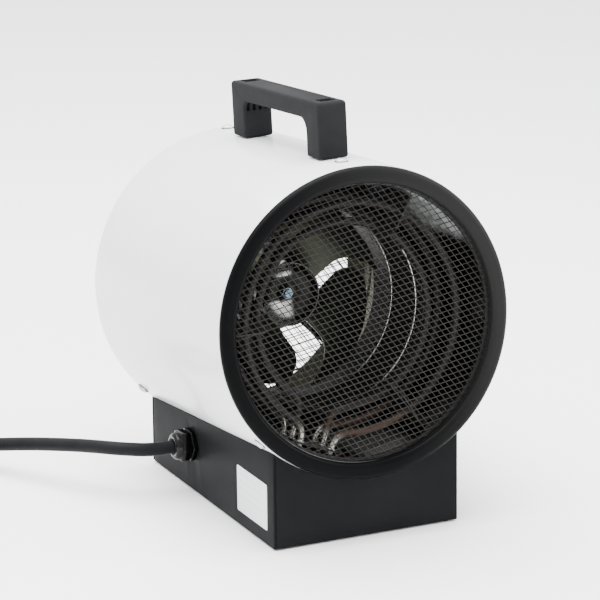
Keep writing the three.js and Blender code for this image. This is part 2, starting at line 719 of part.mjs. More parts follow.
// One blade: a twisted, cambered sheet from inside the hub's rim to the tip.
function blade(middle) {
  const rows = 5;
  const columns = 4;
  const root = HUB_RADIUS - 3;
  const positions = [];
  const side = (offset) => {
    for (let i = 0; i <= rows; i++) {
      const t = i / rows;
      const r = root + (FAN_TIP - root) * t;
      const depth = FAN_DEPTH_ROOT + (FAN_DEPTH_TIP - FAN_DEPTH_ROOT) * t * (2 - t);
      const width = rad(FAN_BLADE_ANGLE) * (0.62 + 0.6 * t - 0.12 * t ** 6);
      for (let j = 0; j <= columns; j++) {
        const c = j / columns - 0.5;
        const a = rad(middle) + width * c + rad(FAN_SWEEP) * Math.sin(Math.PI * t);
        const along = FAN_AT + depth * c - FAN_CAMBER * (1 - 4 * c * c) + offset;
        positions.push(r * Math.cos(a), along, r * Math.sin(a));
      }
    }
  };
  side(-FAN_SHEET / 2);
  side(FAN_SHEET / 2);
  const n = (rows + 1) * (columns + 1);
  const index = [];
  const quad = (a, b, c, d) => index.push(a, b, c, a, c, d);
  const v = (i, j) => i * (columns + 1) + j;
  for (let i = 0; i < rows; i++) {
    for (let j = 0; j < columns; j++) {
      quad(v(i, j), v(i + 1, j), v(i + 1, j + 1), v(i, j + 1));
      quad(n + v(i, j), n + v(i, j + 1), n + v(i + 1, j + 1), n + v(i + 1, j));
    }
    quad(v(i, 0), n + v(i, 0), n + v(i + 1, 0), v(i + 1, 0));
    quad(v(i, columns), v(i + 1, columns), n + v(i + 1, columns), n + v(i, columns));
  }
  for (let j = 0; j < columns; j++) {
    quad(v(0, j), v(0, j + 1), n + v(0, j + 1), n + v(0, j));
    quad(v(rows, j), n + v(rows, j), n + v(rows, j + 1), v(rows, j + 1));
  }
  const g = new THREE.BufferGeometry();
  g.setAttribute("position", new THREE.Float32BufferAttribute(positions, 3));
  g.setIndex(index);
  return solid(g);
}

const shaftRadius = SHAFT_DIAMETER / 2;
const hubBore = shaftRadius + SEAT_GAP;
const hubFront = FAN_AT - 6;
const hubFloor = hubFront + HUB_CUP;
const hub = lathe(
  [
    [hubBore, hubFloor],
    [10, hubFloor],
    [HUB_RADIUS - 6, hubFloor - 2],
    [HUB_RADIUS - 2, hubFront],
    [HUB_RADIUS, hubFront],
    [HUB_RADIUS, hubFront + 12],
    [HUB_RADIUS - 3, hubFloor + 3],
    [10, hubFloor + 3],
    [9, hubFloor + 8],
    [hubBore, hubFloor + 8],
  ],
  24,
);
const blades = Array.from({ length: FAN_BLADES }, (_, k) =>
  blade(FAN_FIRST_BLADE + (360 / FAN_BLADES) * k).subtract(rod(HUB_RADIUS - 3.2, -FAR, FAR, 24)),
);
add(drum, "fan_impeller", joined(hub, ...blades), DARK_STEEL);

const nutRear = hubFloor - SEAT_GAP;
add(
  drum,
  "fan_nut",
  rod(FAN_NUT.radius, nutRear - FAN_NUT.height, nutRear, 6).subtract(
    rod(hubBore, -FAR, FAR, 16),
  ),
  ZINC,
);
add(drum, "motor_shaft", rod(shaftRadius, SHAFT_FRONT, SHAFT_REAR, 16), ZINC);

// ---------------------------------------------------------------- motor and its spider
const motorRear = MOTOR_FRONT + MOTOR_LENGTH;
const motorBore = shaftRadius + 0.5;
add(
  drum,
  "motor",
  lathe(
    [
      [0, SHAFT_REAR + 1],
      [motorBore, SHAFT_REAR + 1],
      [motorBore, MOTOR_FRONT - 4],
      [MOTOR_BOSS, MOTOR_FRONT - 4],
      [MOTOR_BOSS, MOTOR_FRONT],
      [MOTOR_RADIUS - 5, MOTOR_FRONT],
      [MOTOR_RADIUS, MOTOR_FRONT + 5],
      [MOTOR_RADIUS, MOTOR_FRONT + 14],
      [MOTOR_RADIUS + STACK_PROUD, MOTOR_FRONT + 14],
      [MOTOR_RADIUS + STACK_PROUD, motorRear - 14],
      [MOTOR_RADIUS, motorRear - 14],
      [MOTOR_RADIUS, motorRear - 5],
      [MOTOR_RADIUS - 5, motorRear],
      [MOTOR_BOSS, motorRear + 4],
      [0, motorRear + 4],
    ],
    20,
  ),
  CAST_ALLOY,
);

const spiderRear = MOTOR_FRONT - SEAT_GAP;
const spiderFront = spiderRear - SPIDER_SHEET;
const arm = joined(
  block(12, SPIDER_REACH, spiderFront, spiderRear, -SPIDER_ARM_WIDTH / 2, SPIDER_ARM_WIDTH / 2),
  block(
    SPIDER_REACH - SPIDER_SHEET,
    SPIDER_REACH,
    shroudRear + SEAT_GAP,
    spiderRear,
    -SPIDER_ARM_WIDTH / 2,
    SPIDER_ARM_WIDTH / 2,
  ),
  block(
    SPIDER_REACH - SPIDER_SHEET,
    SPIDER_REACH + SPIDER_FOOT,
    shroudRear + SEAT_GAP,
    shroudRear + SEAT_GAP + SPIDER_SHEET,
    -SPIDER_ARM_WIDTH / 2,
    SPIDER_ARM_WIDTH / 2,
  ),
);
const arms = Array.from({ length: SPIDER_ARMS }, (_, k) =>
  arm.transform(turned(Y, rad(45 + (360 / SPIDER_ARMS) * k)).toArray()),
);
add(
  drum,
  "motor_spider",
  joined(rod(MOTOR_RADIUS - 6, spiderFront, spiderRear, 24), ...arms).subtract(
    rod(MOTOR_BOSS + SLIDE_GAP, -FAR, FAR, 24),
  ),
  DARK_STEEL,
);

// ---------------------------------------------------------------- casing screws
const headSeat = DRUM_RADIUS + SEAT_GAP;
casingScrews.forEach(({ name, angle, at: along }) => {
  const head = SCREW_HEAD / 2;
  const body = lathe(
    [
      [0, headSeat - 6],
      [SCREW_DIAMETER / 2, headSeat - 5],
      [SCREW_DIAMETER / 2, headSeat],
      [head, headSeat],
      [head, headSeat + SCREW_HEAD_HEIGHT * 0.55],
      [head * 0.72, headSeat + SCREW_HEAD_HEIGHT],
      [0, headSeat + SCREW_HEAD_HEIGHT],
    ],
    8,
  );
  add(drum, name, body.transform(radial(angle, along, 0).toArray()), ZINC);
});

// ---------------------------------------------------------------- handle
// Side view of the arch: along the drum's axis and above it.
const handleFoot = DRUM_RADIUS + SEAT_GAP + 0.2;
const gripUnder = HANDLE_TOP - HANDLE_GRIP;
const e = HANDLE_EDGE;
const legInFront = HANDLE_FRONT + HANDLE_LEG;
const legInRear = HANDLE_REAR - HANDLE_LEG;
const arch = new THREE.Shape();
arch.moveTo(HANDLE_FRONT + e, handleFoot + e);
arch.lineTo(legInFront - e, handleFoot + e);
arch.lineTo(legInFront - e, gripUnder - HANDLE_FRONT_FILLET);
arch.absarc(
  legInFront + HANDLE_FRONT_FILLET,
  gripUnder - HANDLE_FRONT_FILLET,
  HANDLE_FRONT_FILLET + e,
  Math.PI,
  Math.PI / 2,
  true,
);
arch.lineTo(legInRear - HANDLE_REAR_FILLET, gripUnder + e);
arch.absarc(
  legInRear - HANDLE_REAR_FILLET,
  gripUnder - HANDLE_REAR_FILLET,
  HANDLE_REAR_FILLET + e,
  Math.PI / 2,
  0,
  true,
);
arch.lineTo(legInRear + e, handleFoot + e);
arch.lineTo(HANDLE_REAR - e, handleFoot + e);
arch.lineTo(HANDLE_REAR - e, HANDLE_TOP - 2 * e);
arch.absarc(HANDLE_REAR - 2 * e, HANDLE_TOP - 2 * e, e, 0, Math.PI / 2);
arch.lineTo(HANDLE_FRONT + 2 * e, HANDLE_TOP - e);
arch.absarc(HANDLE_FRONT + 2 * e, HANDLE_TOP - 2 * e, e, Math.PI / 2, Math.PI);
arch.closePath();
const archBody = solid(
  new THREE.ExtrudeGeometry(arch, {
    depth: HANDLE_WIDTH - 2 * e,
    bevelThickness: e,
    bevelSize: e,
    bevelSegments: 2,
    curveSegments: 6,
  }),
  // the shape's x runs along the drum, its y above the drum, and the extrusion across it
  new THREE.Matrix4()
    .makeBasis(Y, Z, X)
    .setPosition(-HANDLE_WIDTH / 2 + e, 0, 0),
);
const pockets = handleScrewsAt.map((s) =>
  block(
    -HANDLE_POCKET.width / 2,
    HANDLE_POCKET.width / 2,
    s - HANDLE_POCKET.length / 2,
    s + HANDLE_POCKET.length / 2,
    handleFoot + HANDLE_POCKET.floor,
    FAR,
  ),
);
const bayFrom = legInFront + HANDLE_FRONT_FILLET;
const bayLength = (legInRear - HANDLE_REAR_FILLET - bayFrom) / HANDLE_HOLLOW.bays;
const bays = Array.from({ length: HANDLE_HOLLOW.bays }, (_, k) =>
  block(
    -HANDLE_HOLLOW.width / 2,
    HANDLE_HOLLOW.width / 2,
    bayFrom + bayLength * k + HANDLE_HOLLOW.rib / 2,
    bayFrom + bayLength * (k + 1) - HANDLE_HOLLOW.rib / 2,
    gripUnder - 5,
    gripUnder + HANDLE_HOLLOW.depth,
  ),
);
add(
  drum,
  "handle",
  cut(archBody, ...pockets, ...bays, ...handleScrewHoles),
  HANDLE_PLASTIC,
);
handleScrewsAt.forEach((s, i) => {
  const seat = handleFoot + HANDLE_POCKET.floor + SEAT_GAP;
  const body = lathe(
    [
      [0, DRUM_BORE - 6],
      [SCREW_DIAMETER / 2, DRUM_BORE - 5],
      [SCREW_DIAMETER / 2, seat],
      [HANDLE_POCKET.length / 2 - 0.6, seat],
      [HANDLE_POCKET.length / 2 - 0.6, seat + 2.6],
      [0, seat + 2.6],
    ],
    10,
  );
  add(drum, "handle_screw_" + (i ? "rear" : "front"), body.transform(radial(90, s, 0).toArray()), ZINC);
});

// ---------------------------------------------------------------- base
const baseBottom = FOOT_PROUD;
const SHELL_DEPTH = BASE_DEPTH - BASE_SHEET - SEAT_GAP;
const halfBase = BASE_WIDTH / 2;
const cradleTop = OUTLET_HEIGHT;
const cradle = rod(DRUM_RADIUS + SEAT_GAP, -FAR, FAR, FACETS).transform(drum.matrix.toArray());
const shellBlank = plate(
  roundedRect(-halfBase, halfBase, 0, SHELL_DEPTH, BASE_CORNER),
  cradleTop - baseBottom,
  at(0, 0, baseBottom),
  3,
);
const shellCavity = plate(
  roundedRect(
    -halfBase + BASE_SHEET,
    halfBase - BASE_SHEET,
    BASE_SHEET,
    SHELL_DEPTH - BASE_SHEET,
    BASE_CORNER - BASE_SHEET,
  ),
  FAR,
  at(0, 0, baseBottom + BASE_SHEET),
  3,
);
const bottomOpening = block(
  -halfBase + BASE_FLANGE,
  halfBase - BASE_FLANGE,
  BASE_FLANGE,
  SHELL_DEPTH - BASE_FLANGE,
  0,
  FAR,
);
const rearOpening = block(
  -halfBase + BASE_FLANGE / 2,
  halfBase - BASE_FLANGE / 2,
  SHELL_DEPTH - 2 * BASE_SHEET,
  FAR,
  baseBottom + BASE_FLANGE / 2,
  FAR,
);
const feet = [
  ["front_left", -1, FOOT_INSET],
  ["front_right", 1, FOOT_INSET],
  ["rear_left", -1, SHELL_DEPTH - FOOT_INSET],
  ["rear_right", 1, SHELL_DEPTH - FOOT_INSET],
].map(([name, side, y]) => ({ name, x: side * (halfBase - FOOT_INSET), y }));
const stemHoles = feet.map(({ x, y }) =>
  rod(FOOT_STEM + SEAT_GAP, -1, FAR, 8).transform(at(x, y, 0).multiply(turned(X, Math.PI / 2)).toArray()),
);
const glandFrame = at(-halfBase, GLAND_SETBACK, GLAND_HEIGHT).multiply(turned(Z, Math.PI / 2));
const glandHole = rod(GLAND_THREAD / 2 + SEAT_GAP, -6, 6, 20).transform(glandFrame.toArray());
add(
  base,
  "base_shell",
  cut(shellBlank, shellCavity, bottomOpening, rearOpening, cradle, glandHole, ...stemHoles),
  CHARCOAL_ENAMEL,
);

const floorBottom = baseBottom + BASE_SHEET + SEAT_GAP;
const floorTop = floorBottom + BASE_SHEET;
add(
  base,
  "floor_plate",
  cut(
    block(
      -halfBase + BASE_SHEET + SLIDE_GAP,
      halfBase - BASE_SHEET - SLIDE_GAP,
      BASE_CORNER,
      SHELL_DEPTH - BASE_CORNER,
      floorBottom,
      floorTop,
    ),
    ...stemHoles,
  ),
  ZINC,
);

feet.forEach(({ name, x, y }) => {
  const body = lathe(
    [
      [0, 0],
      [FOOT_RADIUS, 0],
      [FOOT_RADIUS, baseBottom - SEAT_GAP],
      [FOOT_STEM, baseBottom - SEAT_GAP],
      [FOOT_STEM, floorTop + SEAT_GAP],
      [FOOT_STEM + 1.2, floorTop + SEAT_GAP],
      [FOOT_STEM - 0.6, floorTop + 3],
      [0, floorTop + 3],
    ],
    8,
  );
  add(base, "foot_" + name, body.transform(at(x, y, 0).multiply(turned(X, Math.PI / 2)).toArray()), RUBBER);
});

// Rear panel, with the two controls that the spindles come through
const controls = [
  { name: "selector", x: halfBase - KNOB_INSET },
  { name: "thermostat", x: KNOB_INSET - halfBase },
];
const stemRadius = STEM_DIAMETER / 2;
const panelHoles = controls.map(({ x }) =>
  rod(stemRadius + 1, SHELL_DEPTH - 5, BASE_DEPTH + 5, 16).translate([x, 0, KNOB_HEIGHT]),
);
add(
  base,
  "rear_panel",
  cut(
    block(-halfBase, halfBase, SHELL_DEPTH + SEAT_GAP, BASE_DEPTH, baseBottom, cradleTop),
    cradle,
    ...panelHoles,
  ),
  CHARCOAL_ENAMEL,
);
const switchRear = SHELL_DEPTH + SEAT_GAP - SEAT_GAP;
const switchFront = switchRear - SWITCH_SIZE.depth;
controls.forEach(({ name, x }) => {
  const stemEnd = switchRear - 12;
  const body = block(
    x - SWITCH_SIZE.width / 2,
    x + SWITCH_SIZE.width / 2,
    switchFront,
    switchRear,
    KNOB_HEIGHT - SWITCH_SIZE.height / 2,
    KNOB_HEIGHT + SWITCH_SIZE.height / 2,
  ).subtract(rod(stemRadius + SLIDE_GAP, stemEnd - 1, FAR, 16).translate([x, 0, KNOB_HEIGHT]));
  add(base, name + "_body", body, BLACK_PLASTIC);

  const knobFrom = BASE_DEPTH + KNOB_STANDOFF;
  const skirt = lathe(
    [
      [0, stemEnd],
      [stemRadius, stemEnd],
      [stemRadius, knobFrom],
      [KNOB_RADIUS, knobFrom],
      [KNOB_RADIUS, knobFrom + 3],
      [KNOB_RADIUS - 2, knobFrom + 5],
      [0, knobFrom + 5],
    ],
    18,
  );
  const grip = block(
    -4,
    4,
    knobFrom + 4,
    knobFrom + KNOB_DEPTH,
    -KNOB_RADIUS + 2.5,
    KNOB_RADIUS - 2.5,
  );
  const knob = joined(skirt, grip).translate([x, 0, KNOB_HEIGHT]);
  add(base, name + "_knob", knob, BLACK_PLASTIC);
});

// Terminal block on the floor plate, beside the gland
const blockFrom = floorTop + SEAT_GAP;
const { width: blockWidth, length: blockLength, foot: blockFoot, pole } = TERMINAL_BLOCK;
const blockX = TERMINAL_BLOCK.inset - halfBase;
const poleSpacing = blockLength / 3;
const poles = [-1, 0, 1].map((k) =>
  block(
    blockX + 2,
    blockX + blockWidth - 2,
    GLAND_SETBACK + poleSpacing * (k - 0.35),
    GLAND_SETBACK + poleSpacing * (k + 0.35),
    blockFrom + blockFoot - 1,
    blockFrom + pole,
  ),
);
const blockSole = block(
  blockX,
  blockX + blockWidth,
  GLAND_SETBACK - blockLength / 2,
  GLAND_SETBACK + blockLength / 2,
  blockFrom,
  blockFrom + blockFoot,
);
add(base, "terminal_block", joined(blockSole, ...poles), CERAMIC);

// ---------------------------------------------------------------- cable gland
const hexRadius = GLAND_HEX / 2 / Math.cos(Math.PI / 6);
const threadRadius = GLAND_THREAD / 2;
const nutFrom = SEAT_GAP + GLAND_FLANGE + SEAT_GAP;
const nutTo = nutFrom + GLAND_NUT_LENGTH;
const coreTo = nutFrom + 6;
const coreRadius = threadRadius - 1;
const gland = new THREE.Group();
gland.position.set(-halfBase, GLAND_SETBACK, GLAND_HEIGHT);
gland.rotation.z = Math.PI / 2;
base.add(gland);
add(
  gland,
  "gland_body",
  joined(
    rod(threadRadius, -14, 2, 20),
    rod(hexRadius, SEAT_GAP, SEAT_GAP + GLAND_FLANGE, 6),
    rod(coreRadius, 2, coreTo, 20),
  ),
  BLACK_PLASTIC,
);
add(
  gland,
  "gland_locknut",
  rod(hexRadius, -BASE_SHEET - SEAT_GAP - 5, -BASE_SHEET - SEAT_GAP, 6).subtract(
    rod(threadRadius + SEAT_GAP, -FAR, FAR, 20),
  ),
  BLACK_PLASTIC,
);
add(
  gland,
  "gland_nut",
  joined(
    rod(hexRadius - 0.6, nutFrom, nutFrom + GLAND_NUT_LENGTH * 0.6, 6),
    rod(GLAND_HEX / 2 - 0.6, nutFrom + 1, nutTo, 18, GLAND_MOUTH),
  ).subtract(rod(coreRadius + SEAT_GAP, nutFrom - 5, coreTo + SEAT_GAP, 20)),
  BLACK_PLASTIC,
);

// ---------------------------------------------------------------- cord
const cordRadius = CORD_DIAMETER / 2;
const cordStart = new THREE.Vector3(-halfBase - nutTo - SEAT_GAP, GLAND_SETBACK, GLAND_HEIGHT);
const coilLow = cordRadius + TIE_THICKNESS + SEAT_GAP;
const coilHigh = coilLow + COIL_PITCH - 0.1;
const coilOuter = COIL_INNER + (COIL_PITCH * COIL_TURNS) / 2;
const coilX = cordStart.x + COIL_FROM_GLAND[0];
const coilY = cordStart.y + COIL_FROM_GLAND[1];

// The coil's axis: turns spiral in on the floor and out again on top of themselves, and climb
// in the half turn round the middle. It is entered at the rear, heading left.
function coilPoint(turn) {
  const fromMiddle = turn - COIL_TURNS / 2;
  const r = COIL_INNER + COIL_PITCH * Math.abs(fromMiddle);
  const climbed = Math.min(Math.max(fromMiddle * 2 + 0.5, 0), 1);
  const smooth = climbed * climbed * (3 - 2 * climbed);
  const a = Math.PI / 2 + 2 * Math.PI * turn;
  return new THREE.Vector3(
    coilX + r * Math.cos(a),
    coilY + r * Math.sin(a),
    coilLow + (coilHigh - coilLow) * smooth,
  );
}
const plugX = coilX - coilOuter;
const plugAxis = PLUG_RADIUS + 0.1;
const plugFrom = coilY - PLUG_BACK;
const coilTrack = [
  new THREE.Vector3(coilX + CORD_DIAMETER, coilY + coilOuter, coilLow),
  ...Array.from({ length: Math.round(COIL_TURNS * COIL_STEPS) + 1 }, (_, i) =>
    coilPoint(i / COIL_STEPS),
  ),
  new THREE.Vector3(plugX, plugFrom + CORD_DIAMETER, plugAxis - 0.2),
  new THREE.Vector3(plugX, plugFrom + SEAT_GAP, plugAxis),
];
const coilLength = new THREE.CatmullRomCurve3(coilTrack).getLength();

// Least gap from the coil's tube to itself, at points more than a third of a turn apart.
const perTurn = 5 * COIL_STEPS;
const samples = Array.from({ length: Math.round(COIL_TURNS * perTurn) + 1 }, (_, i) =>
  coilPoint(i / perTurn),
);
let coilGap = Infinity;
samples.forEach((p, i) =>
  samples.slice(i + perTurn / 3).forEach((q) => {
    coilGap = Math.min(coilGap, p.distanceTo(q) - CORD_DIAMETER);
  }),
);
console.log("coil: least gap to itself " + coilGap.toFixed(2) + " mm");

const leadRoute = [
  cordStart,
  new THREE.Vector3(cordStart.x - CORD_DIAMETER, GLAND_SETBACK, GLAND_HEIGHT),
  ...LEAD_ROUTE.map(
    ([left, back, share]) =>
      new THREE.Vector3(
        cordStart.x + left,
        cordStart.y + back,
        coilLow + (GLAND_HEIGHT - coilLow) * share,
      ),
  ),
  new THREE.Vector3(coilX + 2 * CORD_DIAMETER, coilY + coilOuter, coilLow),
  new THREE.Vector3(coilX + CORD_DIAMETER + SEAT_GAP, coilY + coilOuter, coilLow),
];
const leadLength = new THREE.CatmullRomCurve3(leadRoute, false, "centripetal").getLength();
console.log("cord: " + (leadLength + coilLength).toFixed(0) + " mm");
add(base, "cord_lead", tube(leadRoute, cordRadius, 8, 26), RUBBER);
add(base, "cord_coil", tube(coilTrack, cordRadius, 6, Math.round(COIL_TURNS * COIL_STEPS) + 5), RUBBER);

// Tie round all the turns
const tieTurn = (TIE_ANGLE - 90) / 360;
const tieRadii = [0, 1, 2, 3]
  .map((k) => tieTurn + k)
  .filter((t) => t <= COIL_TURNS)
  .map((t) => COIL_INNER + COIL_PITCH * Math.abs(t - COIL_TURNS / 2));
const tieIn = Math.min(...tieRadii) - cordRadius - 1;
const tieOut = Math.max(...tieRadii) + cordRadius + 1;
const tieTopZ = coilHigh + cordRadius + SEAT_GAP;
const band = plate(
  roundedRect(tieIn - TIE_THICKNESS, tieOut + TIE_THICKNESS, 0, tieTopZ + TIE_THICKNESS, 4),
  TIE_WIDTH,
  at(0, 0, -TIE_WIDTH / 2),
  3,
).subtract(
  plate(roundedRect(tieIn, tieOut, TIE_THICKNESS, tieTopZ, 3), FAR, at(0, 0, -FAR / 2), 3),
);
add(
  base,
  "coil_tie",
  band.transform(
    at(coilX, coilY, 0)
      .multiply(turned(Z, rad(TIE_ANGLE)))
      .multiply(turned(X, Math.PI / 2))
      .toArray(),
  ),
  BLACK_PLASTIC,
);

// Plug, lying on its side beside the coil: sleeve, body and two round pins
const plug = new THREE.Group();
plug.position.set(plugX, plugFrom, plugAxis);
plug.rotation.z = Math.PI;
base.add(plug);
const faceAt = PLUG_SLEEVE + PLUG_BODY;
const pinHole = (x) => rod(PIN_DIAMETER / 2 + SEAT_GAP, faceAt - 6, FAR, 12).translate([x, 0, 0]);
add(
  plug,
  "plug_body",
  cut(
    lathe(
      [
        [0, 0],
        [cordRadius + 1.5, 0],
        [cordRadius + 3.5, PLUG_SLEEVE],
        [PLUG_RADIUS - 3, PLUG_SLEEVE + 8],
        [PLUG_RADIUS - 1.5, faceAt - 10],
        [PLUG_RADIUS, faceAt - 8],
        [PLUG_RADIUS, faceAt],
        [0, faceAt],
      ],
      24,
    ),
    pinHole(-PIN_SPACING / 2),
    pinHole(PIN_SPACING / 2),
  ),
  RUBBER,
);
[-1, 1].forEach((side) => {
  const body = lathe(
    [
      [0, faceAt - 5.7],
      [PIN_DIAMETER / 2, faceAt - 5.7],
      [PIN_DIAMETER / 2, faceAt + PIN_LENGTH - 1.5],
      [PIN_DIAMETER / 2 - 1, faceAt + PIN_LENGTH],
      [0, faceAt + PIN_LENGTH],
    ],
    10,
  ).translate([(side * PIN_SPACING) / 2, 0, 0]);
  add(plug, "plug_pin_" + (side < 0 ? "right" : "left"), body, BRASS);
});

// ---------------------------------------------------------------- origin
const CORD_PIECES = ["cord_lead", "cord_coil", "coil_tie", "plug_body", "plug_pin_left", "plug_pin_right"];
machine.updateMatrixWorld(true);
const extent = new THREE.Box3();
machine.traverse((piece) => {
  if (piece.isMesh && !CORD_PIECES.includes(piece.name)) extent.expandByObject(piece, true);
});
const middle = extent.getCenter(new THREE.Vector3());
machine.position.set(-middle.x, -middle.y, -extent.min.z);

const heater = new THREE.Group();
heater.add(machine);

export default heater;
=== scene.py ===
import math
import random

import bmesh
import bpy
from mathutils import Matrix, Vector


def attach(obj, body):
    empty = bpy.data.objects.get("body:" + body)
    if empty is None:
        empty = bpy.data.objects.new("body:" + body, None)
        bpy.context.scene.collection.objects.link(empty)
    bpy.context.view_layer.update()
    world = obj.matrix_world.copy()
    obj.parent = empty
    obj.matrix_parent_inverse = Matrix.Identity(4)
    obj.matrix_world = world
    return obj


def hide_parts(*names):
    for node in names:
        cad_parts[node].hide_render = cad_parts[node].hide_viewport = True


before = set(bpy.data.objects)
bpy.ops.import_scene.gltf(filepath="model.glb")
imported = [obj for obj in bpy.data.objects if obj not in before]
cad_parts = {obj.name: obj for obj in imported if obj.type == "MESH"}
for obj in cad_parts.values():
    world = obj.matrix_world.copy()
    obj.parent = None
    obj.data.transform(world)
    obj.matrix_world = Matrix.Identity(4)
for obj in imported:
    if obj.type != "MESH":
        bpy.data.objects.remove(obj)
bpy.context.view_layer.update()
MM = 0.001
rad = math.radians

# ------------------------------------------------------------------ frames, in millimetres
TILT = rad(5.4)
BACK = 126.108  # from the plane of the base's front to the middle of the heater
AXIS_HEIGHT = 172.2  # of the drum's axis, over the plane of the base's front
HALF, DEPTH = 79.0, 239.1  # half the base's width, and its depth
GLAND_BACK, GLAND_HEIGHT, GLAND_REACH = 158, 40, 17.1
SCALE = Matrix.Scale(MM, 4)
BASE = SCALE @ Matrix.Translation((0, -BACK, 0))
DRUM = BASE @ Matrix.Translation((0, 0, AXIS_HEIGHT)) @ Matrix.Rotation(-TILT, 4, "X")


def radial(angle, along, distance=0.0):
    """On the drum: local +Y points outward at an angle round the axis, at a distance along it."""
    a = rad(angle)
    here = Matrix.Translation((distance * math.cos(a), along, distance * math.sin(a)))
    return DRUM @ here @ Matrix.Rotation(-a, 4, "Y") @ Matrix.Rotation(-math.pi / 2, 4, "Z")


# ------------------------------------------------------------------ camera
YAW, PITCH, ROLL = rad(24.740), rad(16.376), rad(-0.633)
EYE = Vector((-1.17057, -2.42046 - BACK * MM, 0.98135))
LENS, SENSOR = 220.87, 36


def set_camera():
    """The photograph's pinhole, solved from its perspective."""
    flat = math.cos(PITCH)
    d = Vector((math.sin(YAW) * flat, math.cos(YAW) * flat, -math.sin(PITCH)))
    right = d.cross(Vector((0, 0, 1))).normalized()
    up = right.cross(d)
    c, s = math.cos(ROLL), math.sin(ROLL)
    right, up = c * right + s * up, -s * right + c * up
    cam = bpy.data.objects.new("camera", bpy.data.cameras.new("camera"))
    bpy.context.scene.collection.objects.link(cam)
    m = Matrix((right, up, -d)).transposed().to_4x4()
    m.translation = EYE
    cam.matrix_world = m
    cam.data.lens = LENS
    cam.data.sensor_width = SENSOR
    bpy.context.scene.camera = cam


set_camera()


# ------------------------------------------------------------------ materials
def material(
    name, colour, rough, metal=0.0, *, tint, patches=30.0, rough_by=0.06, rough_scale=60.0,
    bump=0.0, bump_scale=900.0, stretch=(1, 1, 1), coat=0.0, coat_rough=0.1, sheen=0.0,
    specular=0.5, zones=(),
):  # fmt: skip
    """A procedural finish: two near colours in soft patches, uneven gloss, and a fine grain.

    Each zone (direction, from, to, colour, rough, metal) lays another colour, roughness and
    metalness over the side of the object that lies in a direction, from one distance in metres
    along it to another;
    most zones here are painted light and shade: highlights, reflections and shade laid on one side.
    """
    m = bpy.data.materials.new(name)
    m.use_nodes = True
    nodes, links = m.node_tree.nodes, m.node_tree.links
    shader = nodes["Principled BSDF"]
    shader.inputs["Metallic"].default_value = metal
    shader.inputs["Coat Weight"].default_value = coat
    shader.inputs["Coat Roughness"].default_value = coat_rough
    shader.inputs["Sheen Weight"].default_value = sheen
    shader.inputs["Specular IOR Level"].default_value = specular
    place = nodes.new("ShaderNodeTexCoord")
    mapping = nodes.new("ShaderNodeMapping")
    mapping.inputs["Scale"].default_value = stretch
    links.new(place.outputs["Object"], mapping.inputs["Vector"])

    def noise(scale, detail=3.0):
        n = nodes.new("ShaderNodeTexNoise")
        n.inputs["Scale"].default_value = scale
        n.inputs["Detail"].default_value = detail
        links.new(mapping.outputs["Vector"], n.inputs["Vector"])
        return n.outputs["Fac"]

    def ranged(value, from_min, from_max, to_min=0.0, to_max=1.0, smooth=False):
        n = nodes.new("ShaderNodeMapRange")
        n.interpolation_type = "SMOOTHSTEP" if smooth else "LINEAR"
        limits = {"From Min": from_min, "From Max": from_max, "To Min": to_min, "To Max": to_max}
        for key, x in limits.items():
            n.inputs[key].default_value = x
        links.new(value, n.inputs["Value"])
        return n.outputs["Result"]

    def mixed(factor, first, second):
        """Mixes a colour or a number; the first may come from another node."""
        n = nodes.new("ShaderNodeMix")
        single = isinstance(second, float)
        n.data_type = "FLOAT" if single else "RGBA"
        a, b = n.inputs[2 if single else 6], n.inputs[3 if single else 7]
        out = n.outputs[0 if single else 2]
        b.default_value = second if single else (*second, 1)
        if isinstance(first, bpy.types.NodeSocket):
            links.new(first, a)
        else:
            a.default_value = first if single else (*first, 1)
        links.new(factor, n.inputs["Factor"])
        return out

    base = mixed(ranged(noise(patches), 0.295, 0.75), colour, tint)
    low, high = max(rough - rough_by, 0.02), min(rough + rough_by, 1.0)
    gloss = ranged(noise(rough_scale), 0, 1, low, high)
    metallic = metal
    for direction, start, end, zone_colour, zone_rough, zone_metal in zones:
        along = nodes.new("ShaderNodeVectorMath")
        along.operation = "DOT_PRODUCT"
        along.inputs[1].default_value = direction
        links.new(place.outputs["Object"], along.inputs[0])
        mask = ranged(along.outputs["Value"], start, end, smooth=True)
        base = mixed(mask, base, zone_colour)
        gloss = mixed(mask, gloss, zone_rough)
        metallic = mixed(mask, metallic, zone_metal)
    links.new(base, shader.inputs["Base Color"])
    links.new(gloss, shader.inputs["Roughness"])
    if zones:
        links.new(metallic, shader.inputs["Metallic"])
    if bump:
        grain = nodes.new("ShaderNodeBump")
        grain.inputs["Strength"].default_value = bump
        grain.inputs["Distance"].default_value = 0.0004
        links.new(noise(bump_scale, 2.0), grain.inputs["Height"])
        links.new(grain.outputs["Normal"], shader.inputs["Normal"])
    return m


WHITE = material(
    "white_powder_coat", (0.71, 0.715, 0.72), 0.26, tint=(0.665, 0.671, 0.68), patches=9,
    bump=0.05, bump_scale=700, coat=0.3, coat_rough=0.12, rough_by=0.04,
)  # fmt: skip
BLACK = material(
    "black_enamel", (0.0016, 0.0017, 0.0019), 0.36, tint=(0.0024, 0.0025, 0.0028), bump=0.10,
    bump_scale=1400, specular=0.03, rough_by=0.05,
    # painted sheen: the zone makes the bezel lighter on its upper right side, where the light falls
    zones=[((0.894, 0, 0.447), 0.040, 0.200, (0.0135, 0.0135, 0.0135), 0.30, 0.0)],
)  # fmt: skip
NET = material(
    "net_wire", (0.018, 0.0177, 0.0162), 0.45, 0.2, tint=(0.026, 0.0252, 0.023), patches=160,
    rough_by=0.1, specular=0.15,
)  # fmt: skip
CHARCOAL = material(
    "charcoal_powder_coat", (0.0070, 0.0075, 0.0080), 0.46, tint=(0.0090, 0.0095, 0.0101),
    patches=24, bump=0.16, bump_scale=1500, rough_by=0.05, specular=0.02,
)  # fmt: skip
